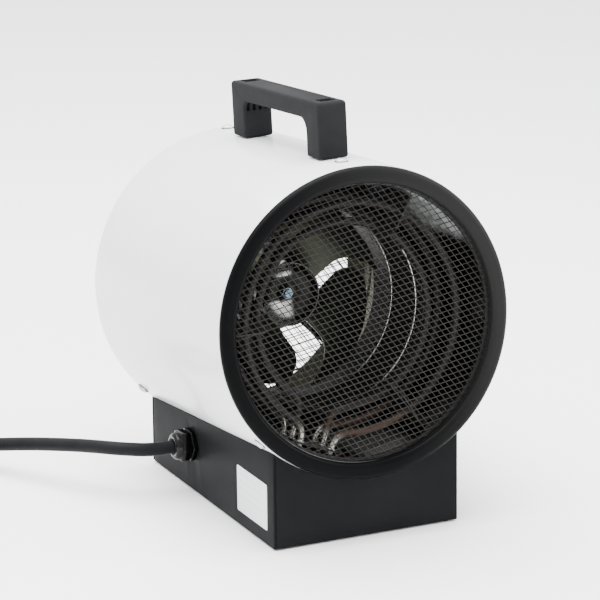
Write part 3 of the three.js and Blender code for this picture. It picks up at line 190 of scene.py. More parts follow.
PLASTIC = material(
    "handle_plastic", (0.0126, 0.0132, 0.0138), 0.60, tint=(0.0150, 0.0157, 0.0164), patches=70,
    bump=0.30, bump_scale=1700, rough_by=0.05, specular=0.02,
)  # fmt: skip
GLAND = material(
    "gland_plastic", (0.0014, 0.0014, 0.0016), 0.16, tint=(0.0022, 0.0022, 0.0025), patches=90,
    bump=0.04, bump_scale=900, specular=0.16,
)  # fmt: skip
KNOB = material(
    "knob_plastic", (0.005, 0.005, 0.0054), 0.34, tint=(0.008, 0.008, 0.0085), patches=90,
    bump=0.18, bump_scale=1700, specular=0.2,
)  # fmt: skip
RUBBER = material(
    "rubber", (0.0072, 0.0077, 0.0082), 0.46, tint=(0.0098, 0.0104, 0.011), patches=60, bump=0.22,
    bump_scale=1300, rough_by=0.08, specular=0.05,
)  # fmt: skip
SHIELD = material(
    "shield_steel", (0.050, 0.050, 0.047), 0.22, 1.0, tint=(0.035, 0.035, 0.032), patches=18,
    rough_by=0.06, rough_scale=34, bump=0.05, bump_scale=55,
    zones=[
        # painted reflection: a bright band on the upper right of the inner face
        ((0.5, 0.0811, 0.8622), 0.2255, 0.2345, (0.58, 0.60, 0.60), 0.38, 0.35),
        # painted reflection: a lighter band along the bottom
        ((0.1736, -0.0922, -0.9805), -0.0550, -0.0514, (0.12, 0.12, 0.112), 0.42, 0.5),
        # painted shade: the front edge and flange, behind the bezel, kept dark
        ((0, -0.99556, 0.09411), 0.1325, 0.1332, (0.006, 0.006, 0.006), 0.6, 0.2),
    ],
)  # fmt: skip
DUCT = material(
    "dark_steel", (0.0095, 0.0095, 0.0082), 0.62, 0.1, tint=(0.014, 0.014, 0.0115), patches=40,
    rough_by=0.08, bump=0.06, bump_scale=120, specular=0.05,
)  # fmt: skip
INSIDE = material(
    "grey_inner_steel", (0.26, 0.265, 0.21), 0.5, 0.2, tint=(0.19, 0.195, 0.15), patches=26,
    rough_by=0.08, bump=0.06, bump_scale=120, specular=0.3,
)  # fmt: skip
BRACKET = material(
    "sooted_steel", (0.020, 0.0195, 0.018), 0.46, 0.5, tint=(0.030, 0.028, 0.025), patches=60,
    rough_by=0.1, bump=0.08, bump_scale=300, specular=0.2,
)  # fmt: skip
FAN = material(
    "fan_steel", (0.052, 0.056, 0.041), 0.30, 0.8, tint=(0.034, 0.037, 0.026), patches=30,
    rough_by=0.06, bump=0.05, bump_scale=150, specular=0.3,
)  # fmt: skip
HUB = material(
    "fan_hub", (0.018, 0.0185, 0.0165), 0.26, 0.9, tint=(0.012, 0.0125, 0.011), patches=60,
    rough_by=0.04, bump=0.03, bump_scale=200, specular=0.3,
    zones=[
        # painted reflection: a bright patch over the hub's lower part
        ((0, -0.0936, -0.9956), -0.1550, -0.1520, (0.50, 0.51, 0.50), 0.24, 0.9),
        # painted reflection: a bright patch over the hub's top
        ((0, 0.0936, 0.9956), 0.1725, 0.1745, (0.50, 0.51, 0.50), 0.24, 0.9),
        # painted shade: the hub's right side kept dark, over both bright patches
        ((1, 0, 0), 0.001, 0.007, (0.014, 0.0145, 0.013), 0.3, 0.8),
    ],
)  # fmt: skip
LIP = material(
    "enamel_painted_highlight", (0.0035, 0.0036, 0.0038), 0.35, tint=(0.0045, 0.0046, 0.0048), specular=0.05,
    # painted highlight: a light grey band on the lower left of the ring
    zones=[((-0.8, 0, -0.6), -0.050, -0.012, (0.16, 0.16, 0.16), 0.3, 0.3)],
)  # fmt: skip
RIM = material(
    "worn_rim", (0.17, 0.17, 0.16), 0.34, 0.7, tint=(0.12, 0.12, 0.11), patches=90, rough_by=0.06,
)  # fmt: skip
EDGE = material(
    "edge_painted_highlight", (0.030, 0.030, 0.027), 0.4, 0.6, tint=(0.022, 0.022, 0.020), patches=80,
    # painted highlight: the beads bright down their right side
    rough_by=0.06, zones=[((0.985, 0, -0.17), 0.018, 0.045, (0.74, 0.73, 0.68), 0.26, 0.8)],
)  # fmt: skip
ZINC = material(
    "zinc_plate", (0.56, 0.58, 0.60), 0.30, 1.0, tint=(0.42, 0.45, 0.50), patches=140,
    rough_by=0.1, bump=0.06, bump_scale=500,
)  # fmt: skip
NUT = material(
    "blue_zinc", (0.20, 0.27, 0.32), 0.24, 1.0, tint=(0.12, 0.18, 0.23), patches=300,
    rough_by=0.08, bump=0.05, bump_scale=900,
)  # fmt: skip
SCREW = material(
    "painted_screw", (0.66, 0.665, 0.67), 0.30, 0.3, tint=(0.52, 0.525, 0.535), patches=200,
    rough_by=0.08, bump=0.05, bump_scale=900,
)  # fmt: skip
SHEATH = material(
    "heated_sheath", (0.013, 0.0123, 0.0114), 0.44, 0.5, tint=(0.0185, 0.0164, 0.0145), patches=30,
    rough_by=0.1, bump=0.1, bump_scale=1200, specular=0.18,
    zones=[
        ((0, 0, -1), -0.100, -0.080, (0.050, 0.030, 0.022), 0.45, 0.4),
        ((-0.358, 0, -0.934), -0.072, -0.062, (0.30, 0.29, 0.265), 0.20, 1.0),
    ],
)  # fmt: skip
ALLOY = material(
    "cast_alloy", (0.30, 0.30, 0.31), 0.46, 0.95, tint=(0.22, 0.22, 0.23), patches=70, bump=0.3,
    bump_scale=1100, rough_by=0.1,
)  # fmt: skip
CERAMIC = material(
    "glazed_ceramic", (0.78, 0.75, 0.68), 0.35, tint=(0.70, 0.66, 0.58), patches=70, bump=0.08,
    bump_scale=600,
)  # fmt: skip
BRASS = material(
    "brass", (0.70, 0.57, 0.31), 0.24, 1.0, tint=(0.60, 0.48, 0.26), patches=120, rough_by=0.08,
    bump=0.05, bump_scale=500,
)  # fmt: skip
PAPER = material(
    "label_film", (0.70, 0.715, 0.73), 0.34, tint=(0.66, 0.675, 0.69), patches=50, bump=0.04,
    bump_scale=500,
)  # fmt: skip
MARK = material(
    "printed_mark", (0.42, 0.43, 0.44), 0.45, tint=(0.36, 0.37, 0.38), patches=200, bump=0.05,
    bump_scale=900,
)  # fmt: skip
STRAP = material(
    "woven_strap", (0.008, 0.008, 0.0085), 0.85, tint=(0.016, 0.016, 0.017), patches=600,
    bump=0.7, bump_scale=1500, stretch=(1, 1, 2), sheen=0.3,
)  # fmt: skip


# ------------------------------------------------------------------ pieces
def piece(
    name, verts, faces, place, finish, *, slot, body="chassis", stands_for=(), smooth=35, bevel=0.0,
    segments=2,
):  # fmt: skip
    """A mesh piece given in millimetres in a frame, riding on a body."""
    mesh = bpy.data.meshes.new(name)
    mesh.from_pydata([place @ Vector(v) for v in verts], [], faces)
    bm = bmesh.new()
    bm.from_mesh(mesh)
    bmesh.ops.remove_doubles(bm, verts=bm.verts, dist=1e-6)
    bmesh.ops.recalc_face_normals(bm, faces=bm.faces)
    bm.to_mesh(mesh)
    bm.free()
    o = bpy.data.objects.new(name, mesh)
    bpy.context.scene.collection.objects.link(o)
    mesh.materials.append(finish)
    if bevel:
        soften(o, bevel, segments)
    smoothed(o, smooth)
    if stands_for:
        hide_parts(*stands_for)
    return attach(o, body)


def smoothed(o, angle=35):
    """Shades a piece smooth, but for its edges sharper than an angle."""
    o.data.shade_smooth()
    o.data.set_sharp_from_angle(angle=rad(angle))


def apply_modifiers(o):
    """Puts what the modifiers make in the place of the mesh."""
    evaluated = o.evaluated_get(bpy.context.evaluated_depsgraph_get())
    mesh = bpy.data.meshes.new_from_object(evaluated)
    o.modifiers.clear()
    o.data = mesh


def soften(o, width, segments=2, limit=32):
    """Rounds the edges that are sharper than a limit in degrees."""
    m = o.modifiers.new("bevel", "BEVEL")
    m.width = width * MM
    m.segments = segments
    m.limit_method = "ANGLE"
    m.angle_limit = rad(limit)
    m.use_clamp_overlap = True
    apply_modifiers(o)


def cut(o, *tools):
    """Takes tools out of a piece, and removes them."""
    for t in tools:
        m = o.modifiers.new("cut", "BOOLEAN")
        m.operation = "DIFFERENCE"
        m.solver = "EXACT"
        m.object = t
    apply_modifiers(o)
    for t in tools:
        bpy.data.objects.remove(t)


def raw(verts, faces, place):
    """A tool for cut()."""
    mesh = bpy.data.meshes.new("tool")
    mesh.from_pydata([place @ Vector(v) for v in verts], [], faces)
    bm = bmesh.new()
    bm.from_mesh(mesh)
    bmesh.ops.recalc_face_normals(bm, faces=bm.faces)
    bm.to_mesh(mesh)
    bm.free()
    o = bpy.data.objects.new("tool", mesh)
    bpy.context.scene.collection.objects.link(o)
    return o


def box_data(x0, x1, y0, y1, z0, z1):
    """A block between two corners."""
    verts = [(x, y, z) for x in (x0, x1) for y in (y0, y1) for z in (z0, z1)]
    faces = [(0, 1, 3, 2), (4, 6, 7, 5), (0, 4, 5, 1), (2, 3, 7, 6), (0, 2, 6, 4), (1, 5, 7, 3)]
    return verts, faces


def prism_data(outline, depth0, depth1):
    """A closed outline of (x, z) extruded along y."""
    n = len(outline)
    verts = [(x, depth0, z) for x, z in outline] + [(x, depth1, z) for x, z in outline]
    faces = [(i, (i + 1) % n, n + (i + 1) % n, n + i) for i in range(n)]
    faces += [tuple(range(n)), tuple(range(2 * n - 1, n - 1, -1))]
    return verts, faces


def lathe_data(profile, sides=160):
    """A closed profile of (radius, along) turned round y. Points on the axis are shared."""
    verts, rings = [], []
    for r, y in profile:
        if r < 1e-6:
            rings.append([len(verts)] * sides)
            verts.append((0, y, 0))
        else:
            rings.append(list(range(len(verts), len(verts) + sides)))
            for k in range(sides):
                a = 2 * math.pi * k / sides
                verts.append((r * math.cos(a), y, r * math.sin(a)))
    faces = []
    for ring, after in zip(rings, rings[1:] + rings[:1]):
        for k in range(sides):
            j = (k + 1) % sides
            corners = dict.fromkeys((ring[k], ring[j], after[j], after[k]))
            if len(corners) > 2:
                faces.append(tuple(corners))
    return verts, faces


def rounded(points, radius, steps):
    """A closed profile, its corners rounded off where the first coordinate is above zero."""
    out, n = [], len(points)
    for i, p in enumerate(points):
        p, a, b = Vector(p), Vector(points[i - 1]), Vector(points[(i + 1) % n])
        if p.x < 1e-6:
            out.append(tuple(p))
            continue
        ua, ub = a - p, b - p
        r = min(radius, 0.45 * ua.length, 0.45 * ub.length)
        start, end = p + ua.normalized() * r, p + ub.normalized() * r
        for k in range(steps + 1):
            t = k / steps
            q = start * (1 - t) ** 2 + p * 2 * t * (1 - t) + end * t * t
            out.append(tuple(q))
    return out


def arc(cx, cy, rx, ry, a0, a1, steps):
    """Points on an ellipse from one angle in degrees to another."""
    return [
        (cx + rx * math.cos(rad(a0 + (a1 - a0) * k / steps)),
         cy + ry * math.sin(rad(a0 + (a1 - a0) * k / steps)))
        for k in range(steps + 1)
    ]  # fmt: skip


def sweep_data(points, radius, sides):
    """A round tube along points, with flat ends."""
    pts = [Vector(p) for p in points]
    n = len(pts)
    verts, faces, side = [], [], None
    for i, p in enumerate(pts):
        t = (pts[min(i + 1, n - 1)] - pts[max(i - 1, 0)]).normalized()
        if side is None:
            side = Vector((0, 1, 0)).cross(t)
        side = (side - t * side.dot(t)).normalized()
        other = t.cross(side)
        for k in range(sides):
            a = 2 * math.pi * k / sides
            verts.append(tuple(p + side * radius * math.cos(a) + other * radius * math.sin(a)))
    for i in range(n - 1):
        for k in range(sides):
            m = (k + 1) % sides
            faces.append((i * sides + k, i * sides + m, (i + 1) * sides + m, (i + 1) * sides + k))
    faces.append(tuple(range(sides)))
    faces.append(tuple(range(n * sides - 1, (n - 1) * sides - 1, -1)))
    return verts, faces


def bead(name, finish, *, radius, along, tube, sides=160, **options):
    """A thin round ring about the drum's axis."""
    turns = [2 * math.pi * k / 10 for k in range(10)]
    ring = [(radius + tube * math.cos(a), along + tube * math.sin(a)) for a in turns]
    return piece(name, *lathe_data(ring, sides), DRUM, finish, smooth=80, **options)


def several(*parts):
    """Several (verts, faces) as one."""
    verts, faces = [], []
    for v, f in parts:
        faces += [tuple(i + len(verts) for i in face) for face in f]
        verts += list(v)
    return verts, faces


# ------------------------------------------------------------------ cord
CORD = 11.0  # across
START = Vector((-HALF - GLAND_REACH - 0.3, GLAND_BACK, GLAND_HEIGHT))
COIL_X, COIL_Y = START.x - 205.6, START.y + 106
COIL_LOW = CORD / 2 + 1.3
COIL_PITCH, COIL_TURNS, COIL_INNER, COIL_STEPS = CORD + 0.8, 3.25, 48.5, 24
COIL_HIGH = COIL_LOW + COIL_PITCH - 0.1
COIL_OUTER = COIL_INNER + COIL_PITCH * COIL_TURNS / 2
PLUG = Vector((COIL_X - COIL_OUTER, COIL_Y - 26, 18.6))  # where the cord enters it
PIN_OUT = 9.5  # of the plug's pins, from its middle
# the free stretch: offsets in x and y from the start, and the share of its height that is left
LEAD = [
    (-22.9, 1.6, 1.015), (-34, 6.2, 1.036), (-43.5, 13.5, 1.036), (-50.8, 23, 1.012),
    (-60.8, 40.3, 0.94), (-70.8, 57.6, 0.852), (-80.8, 75, 0.756), (-90.8, 92.3, 0.648),
    (-100.8, 109.6, 0.53), (-111.8, 128.7, 0.392), (-123.3, 148.6, 0.253),
    (-133.6, 161.5, 0.157), (-148.6, 170.8, 0.078), (-166.6, 173.7, 0.024),
]  # fmt: skip


def coil_point(turn):
    """A coil of two layers: inward on the floor, a climb, and outward on top."""
    from_middle = turn - COIL_TURNS / 2
    r = COIL_INNER + COIL_PITCH * abs(from_middle)
    climbed = min(max(from_middle * 2 + 0.5, 0), 1)
    smooth = climbed * climbed * (3 - 2 * climbed)
    a = math.pi / 2 + 2 * math.pi * turn
    return Vector(
        (COIL_X + r * math.cos(a), COIL_Y + r * math.sin(a),
         COIL_LOW + (COIL_HIGH - COIL_LOW) * smooth)
    )  # fmt: skip


def catmull_rom(points, steps):
    """The centripetal curve through points."""
    out = []
    ends = [2 * points[0] - points[1], *points, 2 * points[-1] - points[-2]]
    for i in range(1, len(ends) - 2):
        p0, p1, p2, p3 = ends[i - 1 : i + 3]
        t1 = max((p1 - p0).length, 1e-6) ** 0.5
        t2 = t1 + max((p2 - p1).length, 1e-6) ** 0.5
        t3 = t2 + max((p3 - p2).length, 1e-6) ** 0.5
        for k in range(steps):
            t = t1 + (t2 - t1) * k / steps
            a1 = p0 * ((t1 - t) / t1) + p1 * (t / t1)
            a2 = p1 * ((t2 - t) / (t2 - t1)) + p2 * ((t - t1) / (t2 - t1))
            a3 = p2 * ((t3 - t) / (t3 - t2)) + p3 * ((t - t2) / (t3 - t2))
            b1 = a1 * ((t2 - t) / t2) + a2 * (t / t2)
            b2 = a2 * ((t3 - t) / (t3 - t1)) + a3 * ((t - t1) / (t3 - t1))
            out.append(b1 * ((t2 - t) / (t2 - t1)) + b2 * ((t - t1) / (t2 - t1)))
    out.append(points[-1])
    return out


def make_cord():
    """From the gland down to the floor, round the coil, and into the plug."""
    route = [START, Vector((START.x - CORD, START.y, START.z))]
    for left, back, share in LEAD:
        height = COIL_LOW + (START.z - COIL_LOW) * share
        route.append(Vector((START.x + left, START.y + back, height)))
    route.append(Vector((COIL_X + 2 * CORD, COIL_Y + COIL_OUTER, COIL_LOW)))
    route.append(Vector((COIL_X + CORD, COIL_Y + COIL_OUTER, COIL_LOW)))
    count = round(COIL_TURNS * COIL_STEPS)
    route += [coil_point(i / COIL_STEPS) for i in range(count + 1)]
    route.append(Vector((PLUG.x, PLUG.y + CORD, PLUG.z - 0.2)))
    route.append(Vector((PLUG.x, PLUG.y + 0.3, PLUG.z)))
    line = [BASE @ p for p in catmull_rom(route, 4)]
    length = sum((b - a).length for a, b in zip(line, line[1:]))
    data = bpy.data.curves.new("cord", "CURVE")
    data.dimensions = "3D"
    data.bevel_depth = CORD / 2 * MM
    data.bevel_resolution = 6
    data.use_fill_caps = True
    spline = data.splines.new("POLY")
    spline.points.add(len(line) - 1)
    for point, co in zip(spline.points, line):
        point.co = (*co, 1)
    spline.use_smooth = True
    cord = bpy.data.objects.new("cord", data)
    bpy.context.scene.collection.objects.link(cord)
    data.materials.append(RUBBER)
    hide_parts("cord_lead", "cord_coil")
    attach(cord, "chassis")
    return cord, tuple(BASE @ START), length


def make_plug():
    """The plug's ribbed body, and its two pins."""
    place = BASE @ Matrix.Translation(PLUG) @ Matrix.Rotation(math.pi, 4, "Z")
    profile = [(0, 0), (6.3, 0), (7.0, 0.8)]
    for k in range(5):
        y = 4 + 4 * k
        r = 7.1 + 0.5 * k
        profile += [(r, y - 1.6), (r + 0.1, y - 0.6), (r - 1.0, y - 0.3), (r - 1.0, y + 1.0)]
        profile.append((r + 0.3, y + 1.3))
    profile += [(9.6, 23.6), (12.0, 27), (15.4, 32), (16.3, 36), (16.8, 44), (17.2, 48.6),
                (18.3, 50), (18.5, 51), (18.5, 57), (17.6, 58), (0, 58)]  # fmt: skip
    body = piece(
        "plug", *lathe_data(profile, 64), place, RUBBER, stands_for=["plug_body"], slot="rubber"
    )
    holes = [
        raw(*lathe_data([(0, 52), (2.7, 52), (2.7, 60), (0, 60)], 24),
            place @ Matrix.Translation((x, 0, 0)))
        for x in (-PIN_OUT, PIN_OUT)
    ]  # fmt: skip
    cut(body, *holes)
    smoothed(body)
    pins = [body]
    for side, node in ((-1, "plug_pin_right"), (1, "plug_pin_left")):
        shape = [(0, 52.3), (2.4, 52.3), (2.4, 74.6), *arc(1.2, 74.9, 1.2, 2.1, 0, 90, 6), (0, 77)]
        pins.append(
            piece("pin_" + node[9:], *lathe_data(shape, 24),
                  place @ Matrix.Translation((side * PIN_OUT, 0, 0)), BRASS,
                  stands_for=[node], slot="brass")
        )  # fmt: skip
    return pins


cord_piece, cord_exit, cord_length = make_cord()
plug_pieces = make_plug()

# ------------------------------------------------------------------ drum casing
R = 121.4  # the drum's outer radius
FINE = 192  # sides of the casing and the bezel
casing = [
    (R - 0.1, 2.5), (R, 2.7), (R, 252.9), *arc(R - 3.6, 252.9, 3.6, 3.6, 0, 90, 8)[1:],
    (R - 15.2, 256.5), (R - 15.5, 256.2), (R - 15.5, 255.5), (R - 15.2, 255.3), (R - 3.9, 255.3),
    *arc(R - 3.9, 252.6, 2.7, 2.7, 90, 0, 6), (R - 1.2, 2.7), (R - 1.1, 2.5),
]  # fmt: skip
drum = piece(
    "casing", *lathe_data(casing, FINE), DRUM, WHITE, stands_for=["drum_casing"],
    slot="white_enamel",
)  # fmt: skip
ENDS = -111  # degrees round the drum, where the elements' ends turn outward
window = box_data(112, 140, 17, 65, -21, 21)  # an opening for them in the wall
cut(drum, raw(*window, DRUM @ Matrix.Rotation(rad(-ENDS), 4, "Y")))
smoothed(drum)

liner = [(119.7, 22), (120.1, 22), (120.1, 237), (119.7, 237)]  # a grey sheet over the inner face, darker than the white casing
piece("casing_inside", *lathe_data(liner), DRUM, INSIDE, slot="dark_steel")

# ------------------------------------------------------------------ front bezel
NOSE = -3.3  # how far along the drum it starts
bezel = [
    (119.8, 2.2), (121.1, 2.2), (121.3, 2.0), (121.3, 0.8),
    *arc(116.0, 0.8, 5.3, 0.8 - NOSE, 0, -90, 14)[1:],
    *arc(112.9, 0.6, 4.7, 0.6 - NOSE, -90, -180, 12), (108.2, 4.8), (108.4, 5.0), (109.2, 5.0),
    (109.4, 4.8), (109.4, 1.2), *arc(113.2, 1.2, 3.8, 3.4, 180, 270, 6)[1:],
    *arc(115.2, 1.2, 3.4, 3.4, 270, 360, 6)[1:], (118.6, 20), (119.8, 20),
]  # fmt: skip
piece(
    "bezel", *lathe_data(bezel, FINE), DRUM, BLACK, stands_for=["front_bezel"], slot="black_enamel"
)
# a thin ring round the bezel's inner edge, carrying the painted highlight on its lower left
bead("bezel_lip", LIP, radius=108.35, along=1.2, tube=0.35, sides=FINE, slot="black_enamel")


# ------------------------------------------------------------------ nets
def woven_net(radius, pitch, wire, at):
    """Two families of wires, each passing over and under the other by turns."""
    a, b = rad(10.2), rad(125.7)  # the directions of the wires
    step = pitch / math.sin(b - a)
    wave = wire * 0.52
    parts = []
    for own, other, phase in ((a, b, 0), (b, a, 1)):
        u, w = Vector((math.cos(own), math.sin(own))), Vector((math.cos(other), math.sin(other)))
        count = int(radius / pitch) + 1
        for i in range(-count, count + 1):
            offset = w * step * i
            along = offset.dot(u)
            gap2 = offset.length_squared - along**2
            if gap2 >= (radius - 1) ** 2:
                continue
            half = math.sqrt(radius**2 - gap2)
            lo, hi = -half - along, half - along
            first, last = math.ceil(lo / step * 2), math.floor(hi / step * 2)
            stops = [lo, *[k * step / 2 for k in range(first, last + 1)], hi]
            points = []
            for t in stops:
                k = t / step
                lift = math.cos(math.pi * (k + i + phase)) * wave / 2
                p = offset + u * t
                points.append((p.x, at + lift, p.y))
            parts.append(sweep_data(points, wire / 2, 6))
    return several(*parts)


def ring_data(inner, outer, y0, y1):
    """A net's flat rim."""
    return lathe_data(rounded([(inner, y0), (outer, y0), (outer, y1), (inner, y1)], 0.3, 2))


net_front = several(
    woven_net(radius=111.6, pitch=4.5, wire=0.72, at=5.85), ring_data(109.5, 112.6, 5.3, 6.4)
)
piece(
    "outlet_mesh", *net_front, DRUM, NET, stands_for=["front_net"], slot="black_enamel", smooth=50
)
net_rear = several(
    woven_net(radius=114.5, pitch=7.0, wire=1.0, at=254.6), ring_data(112.2, 115.5, 254.1, 255.0)
)
piece("inlet_mesh", *net_rear, DRUM, NET, stands_for=["rear_net"], slot="black_enamel", smooth=50)

# ------------------------------------------------------------------ shield, duct, shroud
shield = rounded(
    [(115, 6.6), (115, 7.6), (107, 7.6), (107, 148.7), (106, 148.7), (106, 6.6)], 0.35, 3
)
shield_piece = piece(
    "reflector", *lathe_data(shield), DRUM, SHIELD, stands_for=["heat_shield"],
    slot="shield_steel",
)  # fmt: skip
LOOPS = [("front", 90, 25), ("middle", 73, 41), ("rear", 90, 57)]  # radius, and place along
TUBE, SPREAD = 3.25, 14  # of the elements: the tube's radius, and half the gap between two ends


def end_place(along, side):
    """Local +Y points out along an element's end."""
    turned = DRUM @ Matrix.Rotation(-rad(ENDS), 4, "Y") @ Matrix.Translation((0, along, side))
    return turned @ Matrix.Rotation(-math.pi / 2, 4, "Z")


hole = [(0, 95), (TUBE + 0.4, 95), (TUBE + 0.4, 125), (0, 125)]
cut(
    shield_piece,
    *[
        raw(*lathe_data(hole, 20), end_place(along, side))
        for _, _, along in LOOPS
        for side in (-SPREAD, SPREAD)
    ],
)
smoothed(shield_piece)

duct = [
    (80.9, 64.0), (81.4, 64.6), (81.0, 65.6), (79.6, 66.8), (79.6, 110.4), (78.9, 111.4),
    (78.2, 113), (78.9, 114.6), (79.6, 115.6), (79.6, 148.7), (78.6, 148.7), (78.6, 115.6),
    (77.9, 114.6), (77.2, 113), (77.9, 111.4), (78.6, 110.4), (78.6, 66.2), (79.4, 64.7),
]  # fmt: skip
piece("duct", *lathe_data(duct), DRUM, DUCT, stands_for=["air_duct"], slot="dark_steel", smooth=50)
# beads round the duct; their bright right side is a painted highlight
bead("duct_front_bead", EDGE, radius=78.4, along=72, tube=0.75, slot="dark_steel")
bead("duct_bead_crest", EDGE, radius=77.3, along=113, tube=0.6, slot="dark_steel")
shroud = rounded(
    [(80, 144), (81.2, 144), (81.2, 149), (119.8, 149), (119.8, 161), (118.6, 161), (118.6, 150.2),
     (80, 150.2)],
    0.9, 4,
)  # fmt: skip
piece("shroud", *lathe_data(shroud), DRUM, DUCT, stands_for=["fan_shroud"], slot="dark_steel")


# ------------------------------------------------------------------ elements
def element_path(radius, along):
    """From end to end: out of the wall, round the drum in one loop, and back."""
    bend, reach = 14, 113
    across = SPREAD + bend
    up = math.sqrt((radius + bend) ** 2 - across**2)
    gap = math.atan2(across, up)
    swing = math.pi / 2 - gap
    turns = [swing * i / 8 for i in range(9)]
    flat = [(SPREAD, reach), (SPREAD, (reach + up) / 2)]
    flat += [
        (across + bend * math.cos(math.pi + t), up + bend * math.sin(math.pi + t)) for t in turns
    ]
    for i in range(1, 96):
        a = gap + (2 * math.pi - 2 * gap) * i / 96
        flat.append((radius * math.sin(a), radius * math.cos(a)))
    flat += [(-across + bend * math.cos(-t), up + bend * math.sin(-t)) for t in reversed(turns)]
    flat += [(-SPREAD, (reach + up) / 2), (-SPREAD, reach)]
    out = Vector((math.cos(rad(ENDS)), 0, math.sin(rad(ENDS))))
    side = Vector((-out.z, 0, out.x))
    return [Vector((0, along, 0)) + side * s + out * o for s, o in flat]


def hexagon(radius, y0, y1, turn=0.0):
    """A six-sided prism about y."""
    angles = [rad(60 * k + turn) for k in range(6)]
    return prism_data([(radius * math.cos(a), radius * math.sin(a)) for a in angles], y0, y1)


for name, radius, along in LOOPS:
    piece(
        "element_loop_" + name, *sweep_data(element_path(radius, along), TUBE, 20), DRUM, SHEATH,
        stands_for=["element_" + name], slot="element_steel", smooth=50,
    )  # fmt: skip
    for k, side in enumerate((-SPREAD, SPREAD)):
        collar = rounded([(3.35, 101.4), (4.6, 101.4), (4.6, 103.4), (3.35, 103.4)], 0.5, 3)
        stud = rounded(
            [(0, 112.8), (2.9, 112.8), (2.9, 115), (2, 115), (2, 121.8), (0, 121.8)], 0.3, 2
        )
        terminal = several(
            lathe_data(collar, 32), hexagon(6.2, 107.6, 110.4, 15), lathe_data(stud, 24)
        )
        end = end_place(along, side)
        piece(f"terminal_{name}_{k}", *terminal, end, ZINC, slot="zinc", bevel=0.25)

# ------------------------------------------------------------------ fan
FAN_AT, TIP, HUB_R = 146.0, 75.2, 26.0
BLADES, FIRST_BLADE, BLADE_ANGLE, SWEEP = 4, -40, 76, 15  # the last three in degrees
CAMBER, THICKNESS = 3.5, 1.2


def blade_data(middle):
    """A twisted sheet from the hub to the tip, its middle at an angle, both faces and the rim."""
    rows, columns = 22, 16
    sides = []
    for offset in (-THICKNESS / 2, THICKNESS / 2):
        for i in range(rows + 1):
            t = i / rows
            r = HUB_R - 0.6 + (TIP - HUB_R + 0.6) * t
            u = (r - HUB_R + 3) / (TIP - HUB_R + 3)
            depth = 14 + 14 * u * (2 - u)  # along the axis
            width = rad(BLADE_ANGLE) * (0.62 + 0.6 * u - 0.12 * u**6)
            for j in range(columns + 1):
                c = j / columns - 0.5
                a = rad(middle) + width * c + rad(SWEEP) * math.sin(math.pi * u)
                y = FAN_AT + depth * c - CAMBER * (1 - 4 * c * c) + offset
                sides.append((r * math.cos(a), y, r * math.sin(a)))
    n = (rows + 1) * (columns + 1)

    def at(i, j):
        return i * (columns + 1) + j

    faces = []
    for i in range(rows):
        for j in range(columns):
            quad = (at(i, j), at(i + 1, j), at(i + 1, j + 1), at(i, j + 1))
            faces += [quad, tuple(n + q for q in reversed(quad))]
    rim = [at(0, j) for j in range(columns)] + [at(i, columns) for i in range(rows)]
    rim += [at(rows, j) for j in range(columns, 0, -1)] + [at(i, 0) for i in range(rows, 0, -1)]
    faces += [(a, b, n + b, n + a) for a, b in zip(rim, rim[1:] + rim[:1])]
    return sides, faces


hub = [
    (3.3, 147), (7.5, 147), (8.3, 146.6), (9.5, 146.9), (13, 146.9), (17, 146.5), (20, 145.6),
    (22.2, 144.0), (23.6, 141.8), (24.3, 140.4), (25.2, 140), (25.8, 140.4), (26, 141.2),
    (26, 151.6), (25.4, 152), (24.8, 151.4), (23, 150), (10, 150), (9, 155), (3.3, 155),
]  # fmt: skip
blades = several(*[blade_data(FIRST_BLADE + 360 / BLADES * k) for k in range(BLADES)])
piece(
    "fan_blades", *blades, DRUM, FAN, body="fan_rotor", stands_for=["fan_impeller"],
    slot="dark_steel", smooth=50,
)  # fmt: skip
piece("fan_hub", *lathe_data(hub, 96), DRUM, HUB, body="fan_rotor", slot="dark_steel", smooth=50)
bead(
    "fan_hub_rim", RIM, radius=25.3, along=139.9, tube=0.6, sides=96, body="fan_rotor",
    slot="dark_steel",
)  # fmt: skip
nut = piece(
    "hub_nut", *hexagon(5.2, 143.5, 146.7), DRUM, NUT, body="fan_rotor", stands_for=["fan_nut"],
    slot="zinc",
)  # fmt: skip
cut(nut, raw(*lathe_data([(0, 140), (3.15, 140), (3.15, 150), (0, 150)], 32), DRUM))
soften(nut, 0.4)

# ------------------------------------------------------------------ motor
motor = [
    (0, 179), (4.5, 179), (4.5, 168), (10.4, 168), (11, 168.6), (11, 171.6), (30, 172),
    (33.5, 173.2), (35.6, 175.6), (36, 178),
]  # fmt: skip
for k in range(4):  # grooves round the front end
    y = 178.6 + 1.9 * k
    motor += [(36, y), (35.2, y + 0.3), (35.2, y + 1.0), (36, y + 1.3)]
motor += [(36, 186), (38.4, 186), (39, 186.5)]
for k in range(18):  # lines between the stator's sheets
    y = 187 + 1.65 * k
    motor += [(39, y), (38.75, y + 0.2), (38.75, y + 0.5), (39, y + 0.7)]
motor += [
    (39, 217), (38.4, 217.6), (36, 217.6), (36, 224), (35, 227.6), (32, 229.6), (28, 230),
    (12, 230.6), (11, 233.4), (10, 234), (0, 234),
]  # fmt: skip
piece(
    "motor_can", *lathe_data(motor, 96), DRUM, ALLOY, stands_for=["motor"], slot="cast_alloy",
    smooth=40,
)  # fmt: skip
bolt_shank = [(0, 229), (1.9, 229), (1.9, 235), (1.5, 235.4), (0, 235.4)]
for k in range(4):
    place = DRUM @ Matrix.Rotation(rad(45 + 90 * k), 4, "Y") @ Matrix.Translation((27, 0, 0))
    bolt = several(hexagon(3.4, 230.2, 232.8), lathe_data(bolt_shank, 16))
    piece(f"motor_bolt_{k}", *bolt, place, ZINC, slot="zinc", bevel=0.2)

# ------------------------------------------------------------------ screws
def crossed(o, place, half, slit, deep, top):
    """Cuts a cross recess into a screw's head."""
    cut(
        o,
        raw(*box_data(-half, half, deep, top, -slit, slit), place),
        raw(*box_data(-slit, slit, deep, top, -half, half), place),
    )
    smoothed(o)


